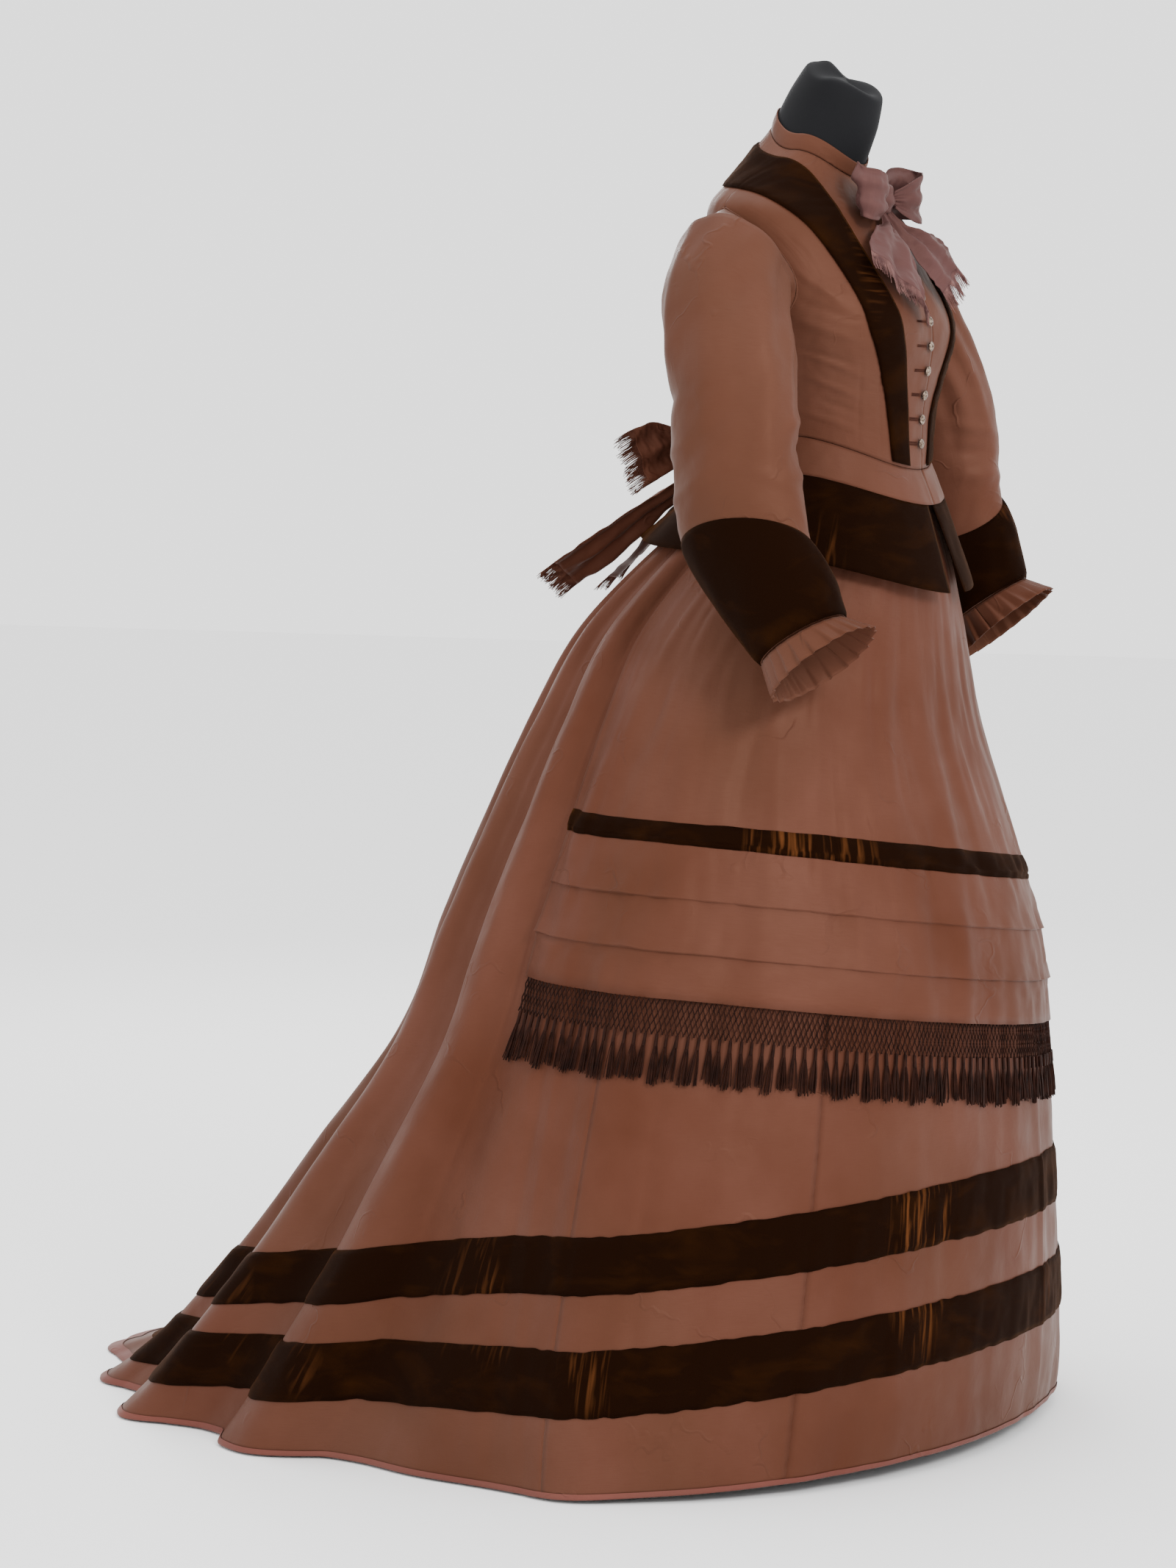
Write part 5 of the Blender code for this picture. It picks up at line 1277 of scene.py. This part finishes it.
def ribbon_out(table, across, along, seed):
    """The ribbon's face, gathered at the knot and wavy beyond it."""
    def plain(s, t):
        return ribbon_point(table, s, t)
    normal = outward(plain, across, np.clip(along, 0.01, 0.99), 0.02, 0.01)
    share = np.sin(math.pi * np.clip(along, 0, 0.5))
    wave = RIBBON_WAVE * share * np.cos(2.2 * math.pi * across)
    gather = 0.0016 * np.sin(across * 15 + seed) * np.exp(-along / 0.14)
    soft = 0.0026 * share * rumple(across, along, 0.50, 0.20, seed)
    soft += 0.0011 * share * rumple(across, along, 0.20, 0.055, seed + 1)
    curl = 0.0012 * share * np.abs(across) ** 5
    return plain(across, along) + normal * (wave + gather + soft + curl)[:, None]


def ribbon_surface(table, seed, closes=False):
    def surface(u, v):
        ribbon = ribbon_out(table, 2 * u - 1, v, seed)
        if closes:
            ribbon[:, 1] += 0.0012 * np.sin(u * 30 + seed) * np.exp(-(1 - v) / 0.12)
        return ribbon
    return surface


def ravel_paths(table, hang, seed):
    """The threads left where the cross threads are drawn out of a ribbon's end."""
    chance = np.random.default_rng(seed)
    hang = np.array(hang) / np.linalg.norm(hang)
    across = np.linspace(-0.99, 0.99, RAVEL_STRANDS)
    roots = ribbon_out(table, across, np.full(RAVEL_STRANDS, 0.999), seed)
    ahead = roots - ribbon_out(table, across, np.full(RAVEL_STRANDS, 0.96), seed)
    ahead /= np.linalg.norm(ahead, axis=1)[:, None]
    t = np.array([0.0, 0.25, 0.55, 0.8, 1.0])[:, None]
    paths = []
    for root, way in zip(roots, ahead):
        long = RAVEL_LENGTH * chance.uniform(0.80, 1.12)
        aim = hang + chance.normal(0, 0.075, 3)
        paths.append(root + long * (way * (t - 0.5 * t ** 2) + aim * 0.5 * t ** 2))
    return paths


def tie_knot(name, knot, seed):
    """The ribbon's turn round the middle: a puffed band with gathers that run across it."""
    x, y, z, half_x, half_y, half_z = knot

    def surface(u, v):
        turn, rise = 2 * math.pi * u, math.pi * (v - 0.5)
        ridge = 1 + 0.075 * np.cos(7 * rise + 1.5 * np.sin(turn + seed)) * np.cos(rise)
        ridge += 0.03 * rumple(6 * np.cos(turn), 4 * rise, 1.7, 1.5, seed) * np.cos(rise)
        square = np.sign(np.cos(rise)) * np.abs(np.cos(rise)) ** 0.75
        return np.stack([x + half_x * square * np.cos(turn) * ridge,
                         y + half_y * square * np.sin(turn) * ridge,
                         z + half_z * np.sin(rise) * ridge], -1)
    return lay_cloth(name, 48, 34, (0.09, 0.05), surface, closed=True)


def tie_bow(tables, material, ravel, seed):
    """Loops, ends and ravelled threads of one bow, each by its node's name."""
    for k, (node, table, side, hang, flat) in enumerate(tables):
        if side < 0:
            table = [row._replace(x=-row.x, wide_x=-row.wide_x) for row in table]
        surface = ribbon_surface(table, seed + k, hang is None)
        ribbon = lay_cloth(node + "_ribbon", 30, 60, flat, surface, thick=RIBBON)
        ribbon.modifiers["Cloth thickness"].offset = 0.0
        fit(ribbon, material, [node])
        if hang:
            threads = twist_cords(node + "_threads", ravel_paths(table, hang, seed + k), RAVEL_RADIUS)
            fit(threads, ravel, [node.replace("_tail", "_fringe").replace("_end", "_fringe")])


mauve_silk = silk_taffeta("mauve ribbon", MAUVE, MAUVE_DEEP, MAUVE_LIGHT)
mauve_thread = silk_cord("mauve thread", MAUVE, (0.170, 0.085, 0.075))
rust_thread = silk_cord("rust thread", (0.050, 0.016, 0.010), (0.100, 0.038, 0.024))
tie_bow([
    ("neck_bow_loop_right", NECK_LOOP, -1, None, (0.055, 0.150)),
    ("neck_bow_loop_left", NECK_LOOP, 1, None, (0.055, 0.150)),
    ("neck_bow_tail_right", NECK_TAIL_RIGHT, 1, (-0.35, -0.55, -1.0), (0.074, 0.100)),
    ("neck_bow_tail_left", NECK_TAIL_LEFT, 1, (0.35, -0.45, -1.0), (0.055, 0.115)),
], mauve_silk, mauve_thread, 201)
fit(tie_knot("neck_bow_knot_ribbon", NECK_KNOT, 3), mauve_silk, ["neck_bow_knot"])
tie_bow([
    (f"back_bow_{part}_{hand}", table, side, hang and (side * hang[0], *hang[1:]), flat)
    for part, table, hang, flat in (
        ("loop", BACK_LOOP, None, (0.055, 0.165)),
        ("end_upper", BACK_END_UPPER, (0.3, 0.6, -0.6), (0.062, 0.092)),
        ("end_lower", BACK_END_LOWER, (0.2, 0.7, -0.7), (0.066, 0.235)))
    for hand, side in (("right", -1), ("left", 1))
], rust_taffeta, rust_thread, 231)
fit(tie_knot("back_bow_knot_ribbon", BACK_KNOT, 5), rust_taffeta, ["back_bow_knot"])

# The studio: a seamless white floor, four large soft lights in a white room, and the camera
# low on the wearer's right, turned towards the front of the dress.
FLOOR_SIZE, FLOOR_DROP = 30.0, 0.0005
CAMERA_PLACE, CAMERA_LENS = (-4.461, -2.273, 1.135), 102.95
VIEW_ALONG, VIEW_DOWN = (0.866, 0.5), 4.711
Lamp = namedtuple("Lamp", "name place aim size power")
LAMPS = [
    Lamp("key", (-2.2, -3.8, 3.2), (0.0, 0.0, 0.9), 1.2, 190),
    Lamp("front fill", (-4.2, 1.0, 1.9), (0.0, 0.1, 0.8), 2.6, 22),
    Lamp("top", (0.2, 0.6, 4.6), (0.0, 0.2, 0.6), 2.2, 60),
    Lamp("rim", (2.8, 2.6, 2.4), (0.0, 0.2, 0.8), 1.4, 40),
]

floor_shape = bmesh.new()
bmesh.ops.create_grid(floor_shape, x_segments=1, y_segments=1, size=FLOOR_SIZE / 2)
floor_mesh = bpy.data.meshes.new("studio_floor")
floor_shape.to_mesh(floor_mesh)
floor_shape.free()
floor_mesh.transform(Matrix.Translation((0.0, 0.0, -FLOOR_DROP)))
floor = show("studio_floor", floor_mesh)
white, _, _, white_shader = start_material("white studio floor", 0.7)
white_shader.inputs["Base Color"].default_value = (0.92, 0.92, 0.92, 1.0)
floor_mesh.materials.append(white)

for lamp in LAMPS:
    light = bpy.data.lights.new(lamp.name, "AREA")
    light.shape, light.size, light.energy = "SQUARE", lamp.size, lamp.power
    holder = show(lamp.name, light)
    holder.location = lamp.place
    aim = Vector(lamp.aim) - Vector(lamp.place)
    holder.rotation_euler = aim.to_track_quat("-Z", "Y").to_euler()

world = bpy.data.worlds.new("white studio")
bpy.context.scene.world = world
world.use_nodes = True
world.node_tree.nodes["Background"].inputs["Color"].default_value = (1.0, 1.0, 1.0, 1.0)
world.node_tree.nodes["Background"].inputs["Strength"].default_value = 2.0

lens = bpy.data.cameras.new("camera")
lens.lens, lens.sensor_width, lens.clip_end = CAMERA_LENS, 36.0, 100.0
camera = show("camera", lens)
camera.location = CAMERA_PLACE
down = math.radians(VIEW_DOWN)
view = Vector((VIEW_ALONG[0] * math.cos(down), VIEW_ALONG[1] * math.cos(down), -math.sin(down)))
camera.rotation_euler = view.to_track_quat("-Z", "Y").to_euler()
bpy.context.scene.camera = camera
